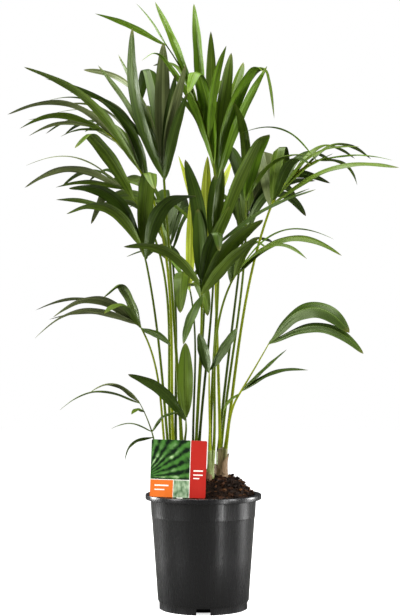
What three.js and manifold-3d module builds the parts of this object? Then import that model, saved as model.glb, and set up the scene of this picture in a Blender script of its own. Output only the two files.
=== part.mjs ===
// Kentia palm seedlings in a black nursery pot. Millimetres, +Z up, origin on the ground under
// the middle of the pot, -Y is the front. Each frond is a stalk and a blade cut to its rib.
import * as THREE from 'three';
import { mergeVertices } from 'three/addons/utils/BufferGeometryUtils.js';
import Module from 'manifold-3d';

const wasm = await Module();
wasm.setup();

// Clearance kept between neighbouring solids.
const GAP = 0.3;

// Pot: radii and heights of its outer steps, and its wall.
const POT = {
  rim: 120, lip: 10.5, height: 234, neck: 109.5, ledgeZ: 189, ledge: 107.4, shoulder: 106.4,
  step: 94, stepZ: 16, foot: 91.5, wall: 1.8, floor: 3, segments: 32,
};
// Drain channel under the floor and its notches through the foot ring.
const DRAIN = { inner: 62, outer: 86, depth: 15, notches: 4, notch: 28, cut: 13 };

// Soil heap: middle of the heap, its crest, its edge and how it falls between them.
const SOIL = { x: 18, y: 18, crest: 268, edge: 226, reach: 100, slope: 62, rings: 6, seat: 6 };

// Plant label on a stake, pushed into the soil in front of the stems.
const LABEL = {
  width: 112, height: 115, thick: 1.2, corner: 3, x: -52, y: -80, z: 234,
  roll: -2, tilt: 2, stake: 12, stakeLength: 34, stakeX: 4,
};

// Sheathed canes: middle of the top, height of the top, radius at the top, foot middle, flare.
const CANES = {
  c1: [41, 0, 326, 10.5, 38, 0, 3.5],
  c2: [16, -28, 324, 8.6, 13, -22, 3],
  c3: [-15, 14, 328, 9.4, -12, 12, 3],
  c4: [-42, -14, 341, 8.4, -38, -10, 2.5],
  c5: [-62, 20, 321, 8.8, -57, 18, 2.5],
  c6: [-92, -30, 296, 4.4, -87, -27, 1.6],
  c7: [-74, -12, 311, 7.6, -70, -10, 2.2],
  c8: [34, 34, 316, 8.8, 32, 32, 2.5],
};

// One row for each frond. cane and seat: the cane it grows from and the bearing of its place on
// the cane's top. stout: radius of the stalk's foot. neck: where the stalk ends and the blade
// starts. heading, lean, blade, droop: bearing of the rib, its angle from upright at the neck,
// its length and its angle from upright at the tip. width: usual leaflet width. leaves: at
// (share of the rib), heading, pitch, length, fall (turn down to the tip), roll, width, kink
// (share of the leaflet where it folds over). fan: pairs, spread at the neck, spread at the
// tip, pitch at the neck, pitch at the tip, length, fall, seed.
const FRONDS = [
  {
    name: '13', cane: 'c2', seat: 120, stout: 3.6, neck: [22, -15, 912],
    heading: 200, lean: 8, blade: 270, droop: 38, width: 26,
    leaves: [
      [1, 190, 30, 160, 18, 15, 18],
      [1, 186, 62, 106, 18, 10, 13],
      [0.55, 218, 67, 208, 14, 0, 26],
      [0.35, 232, 85, 240, 6, 0, 27],
      [0, 212, 73, 305, 112, 0, 23, 0.86],
      [0, 240, 87, 264, 150, 0, 36, 0.76],
      [0.15, 150, 74, 230, 40, 0, 26],
      [0.1, 262, 87, 250, 8, 0, 24],
      [0.2, 300, 74, 240, 50, 0, 18],
      [0.3, 72, 64, 235, 66, 0, 26],
      [0.5, 125, 60, 215, 62, 0, 24],
      [0.05, 165, 80, 235, 50, 0, 28],
    ],
  },
  {
    name: '12', cane: 'c1', seat: 160, stout: 3.4, neck: [29, 35, 873],
    heading: 300, lean: 6, blade: 60, droop: 10, width: 34,
    leaves: [
      [0.3, 312, 80, 285, 130, 0, 30, 0.9],
      [0.5, 292, 79, 252, 14, 0, 32],
      [0.2, 312, 76, 262, 20, 0, 28],
      [0.9, 335, 84, 345, 165, 0, 26, 0.66],
      [0.1, 75, 68, 210, 70, 0, 30],
      [0.3, 105, 72, 240, 70, 0, 30],
      [0.7, 60, 76, 260, 16, 0, 40],
    ],
  },
  {
    name: '16', cane: 'c8', seat: 300, stout: 3, neck: [90, 30, 836],
    heading: 260, lean: 8, blade: 20, droop: 12, width: 24,
    leaves: [
      [0.9, 235, 100, 232, 80, 0, 22],
      [0.3, 292, 73, 182, 60, 0, 34],
      [0.1, 130, 80, 200, 50, 0, 30],
      [0.6, 330, 64, 190, 70, 0, 26],
    ],
  },
  {
    name: '01', cane: 'c4', seat: 135, stout: 3.6, neck: [-81, -20, 876],
    heading: 185, lean: 4, blade: 70, droop: 10, width: 29,
    leaves: [
      [0.1, 241, 57, 318, -34, 0, 33],
      [0.6, 275, 87, 245, 14, 0, 32],
      [0.3, 300, 72, 228, 16, 0, 24],
      [0.15, 310, 76, 212, 16, 0, 24],
      [0.2, 100, 83, 375, 140, 0, 33, 0.72],
      [0, 296, 80, 190, 20, 0, 24],
      [0.2, 200, 66, 262, 20, 20, 26],
      [0.5, 200, 74, 245, 16, 0, 27],
      [0.95, 150, 74, 300, 66, 35, 29],
      [0.7, 192, 56, 300, 40, 20, 16],
      [0.1, 95, 86, 235, 60, 0, 32],
      [0.4, 120, 70, 235, 60, 0, 28],
    ],
  },
  {
    name: '02', cane: 'c5', seat: 270, stout: 3.4, neck: [-104, -5, 843],
    heading: 190, lean: 18, blade: 190, droop: 56, width: 24,
    leaves: [
      [0.25, 195, 84, 265, 80, 20, 20],
      [0.35, 172, 80, 255, 80, 0, 18],
      [0.35, 214, 55, 338, 46, 10, 30],
      [0.55, 200, 52, 300, 80, 25, 26],
      [0.7, 178, 36, 210, 46, 20, 12],
      [0.9, 195, 28, 196, 62, 25, 17],
      [1, 190, 12, 155, 46, 20, 13],
      [0.95, 205, 4, 98, 36, 20, 12],
      [0.45, 170, 66, 235, 78, 0, 14],
      [0.6, 206, 66, 225, 84, 10, 14],
      [0.1, 225, 76, 235, 56, 0, 26],
      [0.2, 120, 64, 250, 70, 0, 26],
      [0.4, 128, 60, 250, 76, 0, 24],
      [0.6, 136, 50, 230, 74, 0, 22],
      [0.8, 146, 38, 205, 66, 0, 20],
    ],
  },
  {
    name: '03', cane: 'c5', seat: 150, stout: 3, neck: [-137, 30, 836],
    heading: 190, lean: 34, blade: 50, droop: 50, width: 26,
    leaves: [
      [0.2, 237, 48, 256, 92, 0, 34, 0.78],
      [0.8, 195, 31, 236, 70, 25, 26],
      [1, 175, 42, 232, 64, 0, 13],
      [0.9, 200, 14, 152, 34, 20, 17],
      [0.3, 125, 50, 215, 74, 0, 24],
      [0.7, 142, 40, 215, 72, 0, 22],
    ],
  },
  {
    name: '04', cane: 'c7', seat: 45, stout: 3, neck: [-116, -35, 703],
    heading: 200, lean: 12, blade: 52, droop: 22, width: 30,
    leaves: [
      [1, 222, 60, 228, 72, 20, 34],
      [0.8, 215, 55, 214, 84, 20, 30],
      [0.9, 195, 52, 216, 54, 20, 24],
      [0.3, 140, 78, 275, 130, 0, 30, 0.68],
      [0.4, 75, 80, 275, 130, 0, 26, 0.68],
      [0.2, 315, 77, 220, 86, 0, 38],
      [0.6, 285, 84, 235, 130, 0, 34, 0.72],
    ],
  },
  {
    name: '05', cane: 'c7', seat: 225, stout: 2.6, neck: [-121, -60, 565],
    heading: 200, lean: 28, blade: 24, droop: 34, width: 24,
    leaves: [
      [0.4, 200, 76, 146, 120, 20, 35, 0.68],
      [0.6, 212, 39, 222, 78, 25, 30],
      [1, 172, 33, 232, 58, 10, 18],
      [0.8, 184, 20, 188, 38, 20, 20],
      [1, 203, 20, 248, 64, 15, 18],
      [0.3, 330, -14, 82, 30, 30, 17],
      [0.4, 245, 40, 170, 70, 0, 24],
    ],
  },
  {
    name: '06', cane: 'c6', seat: 0, stout: 2.2, neck: [-100, -55, 347],
    heading: 195, lean: 14, blade: 85, droop: 30, width: 16,
    leaves: [
      [1, 205, 46, 126, 82, 20, 24],
      [0.95, 190, 25, 178, 66, 15, 16],
      [0.15, 200, 30, 92, 56, 10, 11],
      [0, 200, 0, 88, 84, 20, 18],
      [0.15, 330, 60, 80, 62, 10, 24],
      [0.7, 250, 20, 70, 50, 0, 16],
    ],
  },
  {
    name: '07', cane: 'c4', seat: 315, stout: 2.6, neck: [-35, -66, 380],
    heading: 250, lean: 5, blade: 14, droop: 8, width: 28,
    leaves: [
      [0.3, 207, 54, 164, 40, 30, 28],
      [1, 268, 88, 152, 8, 0, 32],
    ],
  },
  {
    name: '08', cane: 'c2', seat: 250, stout: 2.4, neck: [12, -62, 476],
    heading: 280, lean: 4, blade: 14, droop: 8, width: 24,
    leaves: [
      [0.3, 205, 78, 84, 10, 10, 30],
      [1, 335, 58, 106, 10, 50, 30],
    ],
  },
  {
    name: '09', cane: 'c1', seat: 325, stout: 3, neck: [71, -50, 437],
    heading: 345, lean: 32, blade: 128, droop: 30, width: 22,
    leaves: [
      [1, 335, 52, 215, 104, 48, 40],
      [0.97, 335, 27, 226, 74, 40, 28],
      [0.1, 342, 44, 122, 8, 30, 18],
      [0.04, 345, 37, 152, 44, 35, 18],
      [0, 215, -20, 60, 50, 0, 12],
    ],
  },
  {
    name: '10', cane: 'c2', seat: 350, stout: 3, neck: [53, -35, 660],
    heading: 350, lean: 24, blade: 40, droop: 36, width: 22,
    leaves: [
      [0.6, 345, 46, 258, 82, 35, 24],
      [0.8, 5, 55, 245, 80, 0, 16],
      [1, 330, 42, 190, 82, 20, 18],
      [0.3, 60, 66, 200, 80, 0, 26],
      [0.1, 85, 70, 170, 80, 0, 24],
      [0.5, 292, 52, 190, 80, 0, 22],
    ],
  },
  {
    name: '11', cane: 'c1', seat: 45, stout: 3.4, neck: [137, 10, 819],
    heading: 350, lean: 20, blade: 150, droop: 66, width: 28,
    leaves: [
      [0.1, 343, 36, 288, 50, 30, 34],
      [0.3, 350, 56, 205, 62, 25, 26],
      [0.2, 338, 56, 152, 30, 10, 30],
      [1, 10, 8, 118, 84, 0, 16],
      [1, 355, 6, 160, 26, 0, 16],
      [0.05, 338, 28, 92, 14, 20, 19],
      [0.1, 66, 84, 235, 150, 0, 31, 0.58],
      [0.04, 102, 84, 270, 140, 0, 38, 0.55],
      [1, 178, 54, 185, 74, 0, 10],
      [0.3, 62, 59, 236, 78, 0, 25],
      [0.55, 52, 52, 230, 78, 0, 23],
      [0.8, 40, 43, 210, 74, 0, 20],
      [0.15, 290, 50, 215, 78, 0, 24],
    ],
  },
  {
    name: '14', cane: 'c3', seat: 270, stout: 3.4, neck: [-3, -70, 636],
    heading: 270, lean: 3, blade: 40, droop: 6, width: 32,
    leaves: [
      [0.5, 203, 52, 200, 62, 30, 30],
      [0.8, 248, 86, 148, 10, 0, 30],
      [0.9, 305, 66, 172, 22, 0, 28],
      [0.25, 290, 80, 190, 150, 0, 32, 0.78],
      [0.2, 312, 54, 228, 38, -15, 40],
      [0.1, 316, 46, 188, 26, -15, 36],
      [1, 238, 90, 252, 40, 0, 31],
      [0, 238, -42, 125, 30, 0, 24],
    ],
  },
  {
    name: '15', cane: 'c3', seat: 0, stout: 3, neck: [22, -38, 712],
    heading: 290, lean: 4, blade: 40, droop: 8, width: 32,
    leaves: [
      [0.5, 275, 88, 155, 8, 0, 32],
      [0.6, 312, 66, 280, 60, 0, 30, 0.9],
      [0.8, 352, 40, 240, 26, 30, 26],
      [0.9, 300, 80, 160, 20, 0, 26],
    ],
  },
  {
    name: '17', cane: 'c3', seat: 90, stout: 3, neck: [4, 90, 714],
    heading: 90, lean: 4, blade: 60, droop: 10, width: 24,
    leaves: [
      [0.1, 130, 76, 255, 16, 0, 22],
      [0.6, 80, 86, 205, 10, 0, 24],
      [0.8, 60, 66, 232, 18, 0, 24],
      [0.9, 45, 58, 225, 20, 0, 24],
      [0.6, 170, 66, 230, 90, 0, 26],
    ],
  },
  {
    name: '18', cane: 'c5', seat: 30, stout: 3.2, neck: [-68, 110, 737],
    heading: 118, lean: 14, blade: 90, droop: 34, width: 28,
    fan: [5, 74, 16, 70, 62, 240, 84, 3],
  },
  {
    name: '19', cane: 'c8', seat: 120, stout: 3.2, neck: [84, 108, 760],
    heading: 62, lean: 14, blade: 90, droop: 34, width: 28,
    fan: [5, 74, 16, 70, 62, 240, 84, 5],
  },
  {
    name: '20', cane: 'c3', seat: 180, stout: 2.6, neck: [-26, 96, 646],
    heading: 125, lean: 16, blade: 70, droop: 38, width: 26,
    leaves: [
      [0.2, 95, 88, 208, 6, 0, 20],
      [0.5, 150, 54, 190, 76, 0, 26],
      [0.9, 120, 50, 200, 80, 0, 24],
      [0.7, 60, 60, 190, 80, 0, 24],
      [0.1, 200, 66, 180, 56, 0, 24],
      [0.3, 20, 66, 190, 70, 0, 24],
      [0.9, 255, -5, 170, 76, 0, 32],
      [0.3, 300, 10, 170, 85, 0, 30],
    ],
  },
];

// Leaflets: stations along one, thickness against length, and the section's sides.
const LEAF = { steps: 16, rings: 5, sides: 3, thick: 3, slender: 92, pad: 2.4, free: 0.25, short: 236 };
// Stalk and rib: stations, sides, thinning to the neck and to the tip, collar below the leaves.
const STALK = { rings: 6, sides: 5, neck: 0.72, rise: 0.3 };
const RIB = { steps: 10, rings: 4, sides: 5, tip: 0.5, collar: 6 };
// Turns of heading and pitch tried, in this order, where a leaflet would meet another frond.
const SWINGS = [
  [0, 0], [6, 0], [-6, 0], [12, 0], [-12, 0], [0, 5], [0, -5], [18, 0], [-18, 0], [12, 6],
  [-12, 6], [12, -6], [-12, -6], [24, 0], [-24, 0], [0, 10], [0, -10], [18, 8], [-18, 8],
  [18, -8], [-18, -8], [30, 0], [-30, 0], [0, 15], [0, -15], [30, 8], [-30, 8], [30, -8],
  [-30, -8], [40, 0], [-40, 0],
];

const COLOURS = {
  pot: 0x1d1e20, soil: 0x2e211a, label: 0x5f7f4c, cane: 0x7b8550,
  stalks: [0x8fa458, 0x5f7a3c, 0xa3b56b, 0x4d6835],
  fronds: [0x3e5a30, 0x4e6c3a, 0x5c7c42, 0x456335, 0x6d8c4a],
};

const RAD = Math.PI / 180;
const UP = new THREE.Vector3(0, 0, 1);
const { clamp, lerp } = THREE.MathUtils;

const group = new THREE.Group();

function add(name, geometry, colour, roughness) {
  const material = new THREE.MeshStandardMaterial({ color: colour, roughness, metalness: 0 });
  const mesh = new THREE.Mesh(geometry, material);
  mesh.name = name;
  group.add(mesh);
}

function smooth(t) {
  const u = clamp(t, 0, 1);
  return u * u * (3 - 2 * u);
}

function wobble(n, seed) {
  const x = Math.sin(n * 12.9898 + seed * 78.233) * 43758.5453;
  return 2 * (x - Math.floor(x)) - 1;
}

// Unit vector at a bearing (0 is +X, 90 is +Y) and an angle above the horizontal.
function along(heading, pitch) {
  const level = Math.cos(pitch * RAD);
  return new THREE.Vector3(
    level * Math.cos(heading * RAD),
    level * Math.sin(heading * RAD),
    Math.sin(pitch * RAD),
  );
}

// A closed three.js geometry as a manifold solid.
function solid(geometry) {
  geometry.deleteAttribute('normal');
  geometry.deleteAttribute('uv');
  const welded = mergeVertices(geometry, 1e-4);
  const index = welded.index.array;
  const corners = [];
  for (let i = 0; i < index.length; i += 3) {
    const [a, b, c] = index.slice(i, i + 3);
    if (a !== b && b !== c && c !== a) {
      corners.push(a, b, c);
    }
  }
  return new wasm.Manifold(new wasm.Mesh({
    numProp: 3,
    vertProperties: new Float32Array(welded.attributes.position.array),
    triVerts: new Uint32Array(corners),
  }));
}

// A manifold solid back as a three.js geometry.
function shaped(piece) {
  const mesh = piece.getMesh();
  const geometry = new THREE.BufferGeometry();
  geometry.setAttribute('position', new THREE.BufferAttribute(mesh.vertProperties, 3));
  geometry.setIndex(new THREE.BufferAttribute(mesh.triVerts, 1));
  geometry.computeVertexNormals();
  return geometry;
}

// The outer body of a union, without sealed pockets or loose scraps.
function whole(piece) {
  const parts = piece.decompose();
  return parts.reduce((best, part) => (part.volume() > best.volume() ? part : best));
}

// A cylinder or cone carried along stations: point, across, normal, half width, half thickness.
function swept(sides, rings, station, pointed) {
  const form = pointed
    ? new THREE.ConeGeometry(1, 1, sides, rings)
    : new THREE.CylinderGeometry(1, 1, 1, sides, rings);
  const spots = form.attributes.position;
  for (let i = 0; i < spots.count; i++) {
    const s = spots.getY(i) + 0.5;
    const at = station(s);
    const spread = pointed ? 1 / Math.max(1 - s, 1e-6) : 1;
    const spot = at.point.clone();
    spot.addScaledVector(at.across, spots.getX(i) * spread * at.half / (sides === 3 ? 0.866 : 1));
    spot.addScaledVector(at.normal, spots.getZ(i) * spread * at.thick);
    spots.setXYZ(i, spot.x, spot.y, spot.z);
  }
  return form;
}

// A station between the recorded ones of a line.
function between(line, s) {
  const x = clamp(s, 0, 1) * (line.length - 1);
  const j = Math.min(Math.floor(x), line.length - 2);
  const a = line[j];
  const b = line[j + 1];
  const t = x - j;
  return {
    point: a.point.clone().lerp(b.point, t),
    across: a.across.clone().lerp(b.across, t).normalize(),
    normal: a.normal.clone().lerp(b.normal, t).normalize(),
    half: lerp(a.half, b.half, t),
    thick: lerp(a.thick, b.thick, t),
  };
}

// Station of a round limb: its section lies square to the way it runs.
function roundStation(point, way, radius) {
  const across = new THREE.Vector3(1, 0, 0);
  across.addScaledVector(way, -across.dot(way)).normalize();
  const normal = new THREE.Vector3().crossVectors(across, way);
  return { point, across, normal, half: radius, thick: radius };
}

// Height of the soil heap at a spot.
function heap(x, y) {
  const spread = Math.hypot(x - SOIL.x, y - SOIL.y);
  return lerp(SOIL.edge, SOIL.crest, smooth((SOIL.reach - spread) / SOIL.slope));
}

function potSolid() {
  const p = POT;
  const d = DRAIN;
  const outline = [
    [0, 0], [d.inner - 2, 0], [d.inner, d.depth], [d.outer, d.depth], [d.outer + 1, 0],
    [p.foot, 0], [p.foot, p.stepZ - 2], [p.step, p.stepZ + 1], [p.shoulder, p.ledgeZ - 2],
    [p.ledge, p.ledgeZ], [p.neck, p.height - p.lip - 1], [p.rim - 1, p.height - p.lip],
    [p.rim, p.height - p.lip + 1.5], [p.rim, p.height - 2], [p.rim - 2, p.height],
    [p.neck + 1, p.height], [p.neck - p.wall, p.height - 3], [p.neck - p.wall, p.height - p.lip],
    [p.ledge - p.wall, p.ledgeZ], [p.shoulder - p.wall, p.ledgeZ - 3],
    [p.step - p.wall, p.stepZ + 4], [p.foot - p.wall, d.depth + p.floor],
    [d.inner, d.depth + p.floor], [d.inner - 3, p.floor], [0, p.floor],
  ];
  const points = outline.map(([r, z]) => new THREE.Vector2(r, z));
  const turned = new THREE.LatheGeometry(points, p.segments);
  turned.rotateX(Math.PI / 2);
  let pot = solid(turned);
  for (let k = 0; k < d.notches; k++) {
    const notch = new THREE.BoxGeometry(d.notch, 14, 2 * d.cut);
    notch.translate(0, -(p.foot - 4), 0);
    notch.rotateZ(2 * Math.PI * k / d.notches);
    pot = pot.subtract(solid(notch));
  }
  return pot;
}

function soilSolid() {
  const p = POT;
  const inset = p.wall + GAP;
  const bed = DRAIN.depth + p.floor + GAP;
  const brim = SOIL.edge;
  const outline = [
    [0, p.floor + GAP], [DRAIN.inner - 3.4, p.floor + GAP], [DRAIN.inner - 0.4, bed],
    [p.foot - inset, bed], [p.step - inset, p.stepZ + 4], [p.shoulder - inset, p.ledgeZ - 3],
    [p.ledge - inset, p.ledgeZ],
    [p.neck - inset - 1, brim],
  ];
  const edge = p.neck - inset - 1;
  for (let k = SOIL.rings - 1; k >= 0; k--) {
    outline.push([edge * k / SOIL.rings, brim]);
  }
  const points = outline.map(([r, z]) => new THREE.Vector2(r, z));
  const turned = new THREE.LatheGeometry(points, POT.segments);
  turned.rotateX(Math.PI / 2);
  const spots = turned.attributes.position;
  for (let i = 0; i < spots.count; i++) {
    if (spots.getZ(i) > brim - 1) {
      spots.setZ(i, heap(spots.getX(i), spots.getY(i)));
    }
  }
  let soil = solid(turned);
  for (const cane of Object.keys(CANES)) {
    const [, , , top, x, y, flare] = CANES[cane];
    const radius = top + flare + GAP + 0.2;
    const seat = new THREE.CylinderGeometry(radius, radius, 60, 16);
    seat.rotateX(Math.PI / 2);
    seat.translate(x, y, footHeight(cane) - GAP + 30);
    soil = soil.subtract(solid(seat));
  }
  const slot = new THREE.BoxGeometry(LABEL.stake + 3.6, LABEL.thick + 4, 60);
  slot.translate(LABEL.x + LABEL.stakeX, LABEL.y + 0.6, LABEL.z - LABEL.stakeLength + 29);
  return whole(soil.subtract(solid(slot)));
}

// Level of a cane's flat foot: a little below the lowest soil round it.
function footHeight(cane) {
  const [, , , top, x, y, flare] = CANES[cane];
  let low = heap(x, y);
  for (let k = 0; k < 12; k++) {
    const turn = k * 30 * RAD;
    low = Math.min(low, heap(x + (top + flare) * Math.cos(turn), y + (top + flare) * Math.sin(turn)));
  }
  return low - SOIL.seat;
}

// Leaning cane with a flared foot: level sections from its flat foot to its flat top.
function caneLine(cane) {
  const [tx, ty, tz, top, x, y, flare] = CANES[cane];
  const low = footHeight(cane);
  const line = [];
  for (let k = 0; k <= 8; k++) {
    const t = k / 8;
    const radius = top * (1 - 0.1 * Math.sin(Math.PI * t)) + flare * (1 - t) ** 3;
    line.push({
      point: new THREE.Vector3(lerp(x, tx, t), lerp(y, ty, t), lerp(low, tz, t)),
      across: new THREE.Vector3(1, 0, 0),
      normal: new THREE.Vector3(0, -1, 0),
      half: radius,
      thick: radius,
    });
  }
  return line;
}

function labelSolid() {
  const l = LABEL;
  const w = l.width / 2;
  const c = l.corner;
  const face = new THREE.Shape();
  face.moveTo(-w + c, 0);
  face.lineTo(l.stakeX - l.stake / 2, 0);
  face.lineTo(l.stakeX - l.stake / 2, 10 - l.stakeLength);
  face.lineTo(l.stakeX, -l.stakeLength);
  face.lineTo(l.stakeX + l.stake / 2, 10 - l.stakeLength);
  face.lineTo(l.stakeX + l.stake / 2, 0);
  face.lineTo(w - c, 0);
  face.absarc(w - c, c, c, -Math.PI / 2, 0, false);
  face.lineTo(w, l.height - c);
  face.absarc(w - c, l.height - c, c, 0, Math.PI / 2, false);
  face.lineTo(-w + c, l.height);
  face.absarc(-w + c, l.height - c, c, Math.PI / 2, Math.PI, false);
  face.lineTo(-w, c);
  face.absarc(-w + c, c, c, Math.PI, 1.5 * Math.PI, false);
  const card = new THREE.ExtrudeGeometry(face, {
    depth: l.thick, bevelEnabled: false, curveSegments: 4,
  });
  card.translate(0, 0, -l.thick / 2);
  card.rotateX(Math.PI / 2 - l.tilt * RAD);
  card.rotateY(-l.roll * RAD);
  card.translate(l.x, l.y, l.z);
  return solid(card);
}

// Stalk from its seat on the cane to the neck of the blade.
function stalkLine(frond) {
  const [tx, ty, tz, top] = CANES[frond.cane];
  const alone = FRONDS.filter((other) => other.cane === frond.cane).length === 1;
  const out = alone ? 0 : top - frond.stout - 0.5;
  const neck = new THREE.Vector3(...frond.neck);
  const foot = new THREE.Vector3(tx, ty, tz + GAP).addScaledVector(along(frond.seat, 0), out);
  const span = foot.distanceTo(neck);
  const start = neck.clone().sub(foot).divideScalar(span).addScaledVector(UP, STALK.rise).normalize();
  const end = along(frond.heading, 90 - frond.lean);
  const curve = new THREE.CubicBezierCurve3(
    foot,
    foot.clone().addScaledVector(start, span / 3),
    neck.clone().addScaledVector(end, -span / 3),
    neck,
  );
  const line = [];
  for (let k = 0; k <= 16; k++) {
    const t = k / 16;
    const way = curve.getTangent(t).lerp(UP, 1 - smooth(t / 0.1)).normalize();
    line.push(roundStation(curve.getPoint(t), way, frond.stout * lerp(1, STALK.neck, t)));
  }
  return line;
}

// Rib of a blade: it leans at the neck and droops to its tip.
function ribLine(frond) {
  const { heading, lean, droop, blade } = frond;
  const thick = frond.stout * STALK.neck;
  const point = new THREE.Vector3(...frond.neck).addScaledVector(along(heading, 90 - lean), GAP);
  const line = [];
  for (let k = 0; k <= RIB.steps; k++) {
    const t = k / RIB.steps;
    const way = along(heading, 90 - lerp(lean, droop, t));
    line.push(roundStation(point.clone(), way, thick * lerp(1, RIB.tip, t)));
    const ahead = along(heading, 90 - lerp(lean, droop, t + 0.5 / RIB.steps));
    point.addScaledVector(ahead, blade / RIB.steps);
  }
  return line;
}

// How far a leaflet has turned down from its first pitch at a share of its length.
function fallen(leaf, s) {
  if (leaf.kink) {
    return leaf.fall * (0.3 * smooth(s) + 0.7 * smooth((s - leaf.kink + 0.08) / 0.16));
  }
  return leaf.fall * smooth((s - 0.1) / 0.9);
}

// Half width of a leaflet at a share of its length: narrow root, belly, and a point that is
// long on a slender leaflet and blunter on a broad one.
function halfWidth(width, s) {
  const point = lerp(0.9, 0.62, smooth((width - 14) / 16));
  const peak = 0.6 / (0.6 + point);
  const belly = s ** 0.6 * (1 - s) ** point / (peak ** 0.6 * (1 - peak) ** point);
  return width / 2 * (s < 0.2 ? Math.max(belly, 0.2 * (1 - s / 0.2)) : belly);
}

// Stations of one leaflet, which arches in the upright plane of its heading.
function leafLine(frond, rib, leaf) {
  const share = lerp(RIB.collar / frond.blade, 1, leaf.at);
  const point = between(rib, share).point;
  const level = along(leaf.heading + 90, 0);
  const line = [];
  for (let k = 0; k <= LEAF.steps; k++) {
    const s = k / LEAF.steps;
    const way = along(leaf.heading, leaf.pitch - fallen(leaf, s));
    const across = level.clone().applyAxisAngle(way, leaf.roll * RAD);
    line.push({
      point: point.clone(),
      across,
      normal: new THREE.Vector3().crossVectors(across, way),
      half: halfWidth(leaf.width, s),
      thick: Math.max(LEAF.thick, leaf.length / LEAF.slender) / 2 * (1 - 0.7 * s * s),
    });
    const next = leaf.pitch - fallen(leaf, s + 0.5 / LEAF.steps);
    point.addScaledVector(along(leaf.heading, next), leaf.length / LEAF.steps);
  }
  return line;
}

// Flat slabs that stand for a limb or a leaflet when others look for room.
function slabs(line, owner) {
  const list = [];
  for (let k = 1; k < line.length; k++) {
    const a = line[k - 1];
    const b = line[k];
    const way = b.point.clone().sub(a.point);
    const size = way.length();
    list.push({
      owner,
      share: k / (line.length - 1),
      middle: a.point.clone().add(b.point).multiplyScalar(0.5),
      way: way.divideScalar(size),
      across: a.across.clone().add(b.across).normalize(),
      normal: a.normal.clone().add(b.normal).normalize(),
      reach: size / 2 + 1,
      half: (a.half + b.half) / 2 + LEAF.pad,
      thick: (a.thick + b.thick) / 2 + LEAF.pad,
    });
  }
  return list;
}

// Whether a leaflet meets another frond, or, past its root, another leaflet of its own.
function blocked(line, taken, owner) {
  const offset = new THREE.Vector3();
  const spot = new THREE.Vector3();
  for (let k = 0; k < 3 * (line.length - 1); k++) {
    const s = k / (3 * (line.length - 1));
    const at = between(line, s);
    for (let j = -3; j <= 3; j++) {
      spot.copy(at.point).addScaledVector(at.across, at.half * j / 3);
      for (const slab of taken) {
        if (slab.owner === owner && Math.min(slab.share, s) < LEAF.free) {
          continue;
        }
        offset.subVectors(spot, slab.middle);
        if (Math.abs(offset.dot(slab.way)) < slab.reach
          && Math.abs(offset.dot(slab.across)) < slab.half
          && Math.abs(offset.dot(slab.normal)) < slab.thick) {
          return true;
        }
      }
    }
  }
  return false;
}

// Pairs of leaflets that spread from the rib, close to it at the tip.
function fanned(frond) {
  const [pairs, wide, close, first, last, size, fall, seed] = frond.fan;
  const list = [];
  for (let k = 0; k < 2 * pairs; k++) {
    const t = Math.floor(k / 2) / (pairs - 1);
    const side = k % 2 ? -1 : 1;
    const length = size * (0.8 + 0.2 * Math.sin(Math.PI * (0.2 + 0.7 * t)));
    list.push([
      0.9 * t + (k % 2 ? 0 : 0.05),
      frond.heading + side * lerp(wide, close, t) + 6 * wobble(k, seed),
      lerp(first, last, t) + 6 * wobble(k + 20, seed),
      length * (1 + 0.08 * wobble(k + 40, seed)),
      fall * (1 + 0.2 * wobble(k + 60, seed)),
      25 * side,
    ]);
  }
  return list;
}

// The leaflets of a frond that found room, each turned by the first swing that clears it.
function settled(frond, rib, taken) {
  const rows = frond.fan ? fanned(frond) : frond.leaves;
  const lines = [];
  for (const [at, heading, pitch, length, fall, roll = 0, width = 0, kink = 0] of rows) {
    for (const [turn, lift] of SWINGS) {
      const leaf = { at, length, fall, roll, kink };
      leaf.heading = heading + turn;
      leaf.pitch = pitch + lift;
      leaf.width = width || frond.width;
      const line = leafLine(frond, rib, leaf);
      if (!blocked(line, taken, frond.name)) {
        taken.push(...slabs(line, frond.name));
        lines.push({ line, rings: LEAF.rings + (kink ? 1 : 0) - (length < LEAF.short ? 1 : 0) });
        break;
      }
    }
  }
  return lines;
}

add('pot', shaped(potSolid()), COLOURS.pot, 0.42);
add('soil', shaped(soilSolid()), COLOURS.soil, 0.95);
add('label_card', shaped(labelSolid()), COLOURS.label, 0.35);

const taken = [];
Object.keys(CANES).forEach((cane, k) => {
  const line = caneLine(cane);
  taken.push(...slabs(line, cane));
  const form = swept(10, 3, (s) => between(line, s), false);
  add(`cane_${k + 1}`, shaped(solid(form)), COLOURS.cane, 0.7);
});

const ribs = FRONDS.map(ribLine);
FRONDS.forEach((frond, k) => {
  const line = stalkLine(frond);
  for (const slab of [...slabs(line, frond.name), ...slabs(ribs[k], frond.name)]) {
    taken.push({ ...slab, share: 0 });
  }
  const form = swept(STALK.sides, STALK.rings, (s) => between(line, s), false);
  add(`stalk_${frond.name}`, shaped(solid(form)), COLOURS.stalks[k % 4], 0.5);
});

FRONDS.forEach((frond, k) => {
  const rib = ribs[k];
  const core = solid(swept(RIB.sides, RIB.rings, (s) => between(rib, s), false));
  const leaves = settled(frond, rib, taken).map(({ line, rings }) => (
    solid(swept(LEAF.sides, rings, (s) => between(line, s), true))
  ));
  const blade = whole(wasm.Manifold.union([core, ...leaves]));
  add(`frond_${frond.name}`, shaped(blade), COLOURS.fronds[k % 5], 0.48);
});

export default group;
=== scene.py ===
"""Kentia palm in a black nursery pot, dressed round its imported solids.

The clump has eight sheathed canes, twenty stalks and twenty fronds. Every frond follows the
same rule as the part's source: a rib that leans and droops, and leaflets that arch in the
upright plane of their own heading and turn a little where they would meet another frond.
Sizes are in millimetres, as in the source, and meshes are in metres.
"""

import logging
import math
from collections.abc import Sequence
from dataclasses import dataclass, replace
from enum import Enum
from typing import ClassVar

import bpy
import numpy as np
from mathutils import Matrix, Vector


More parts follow.
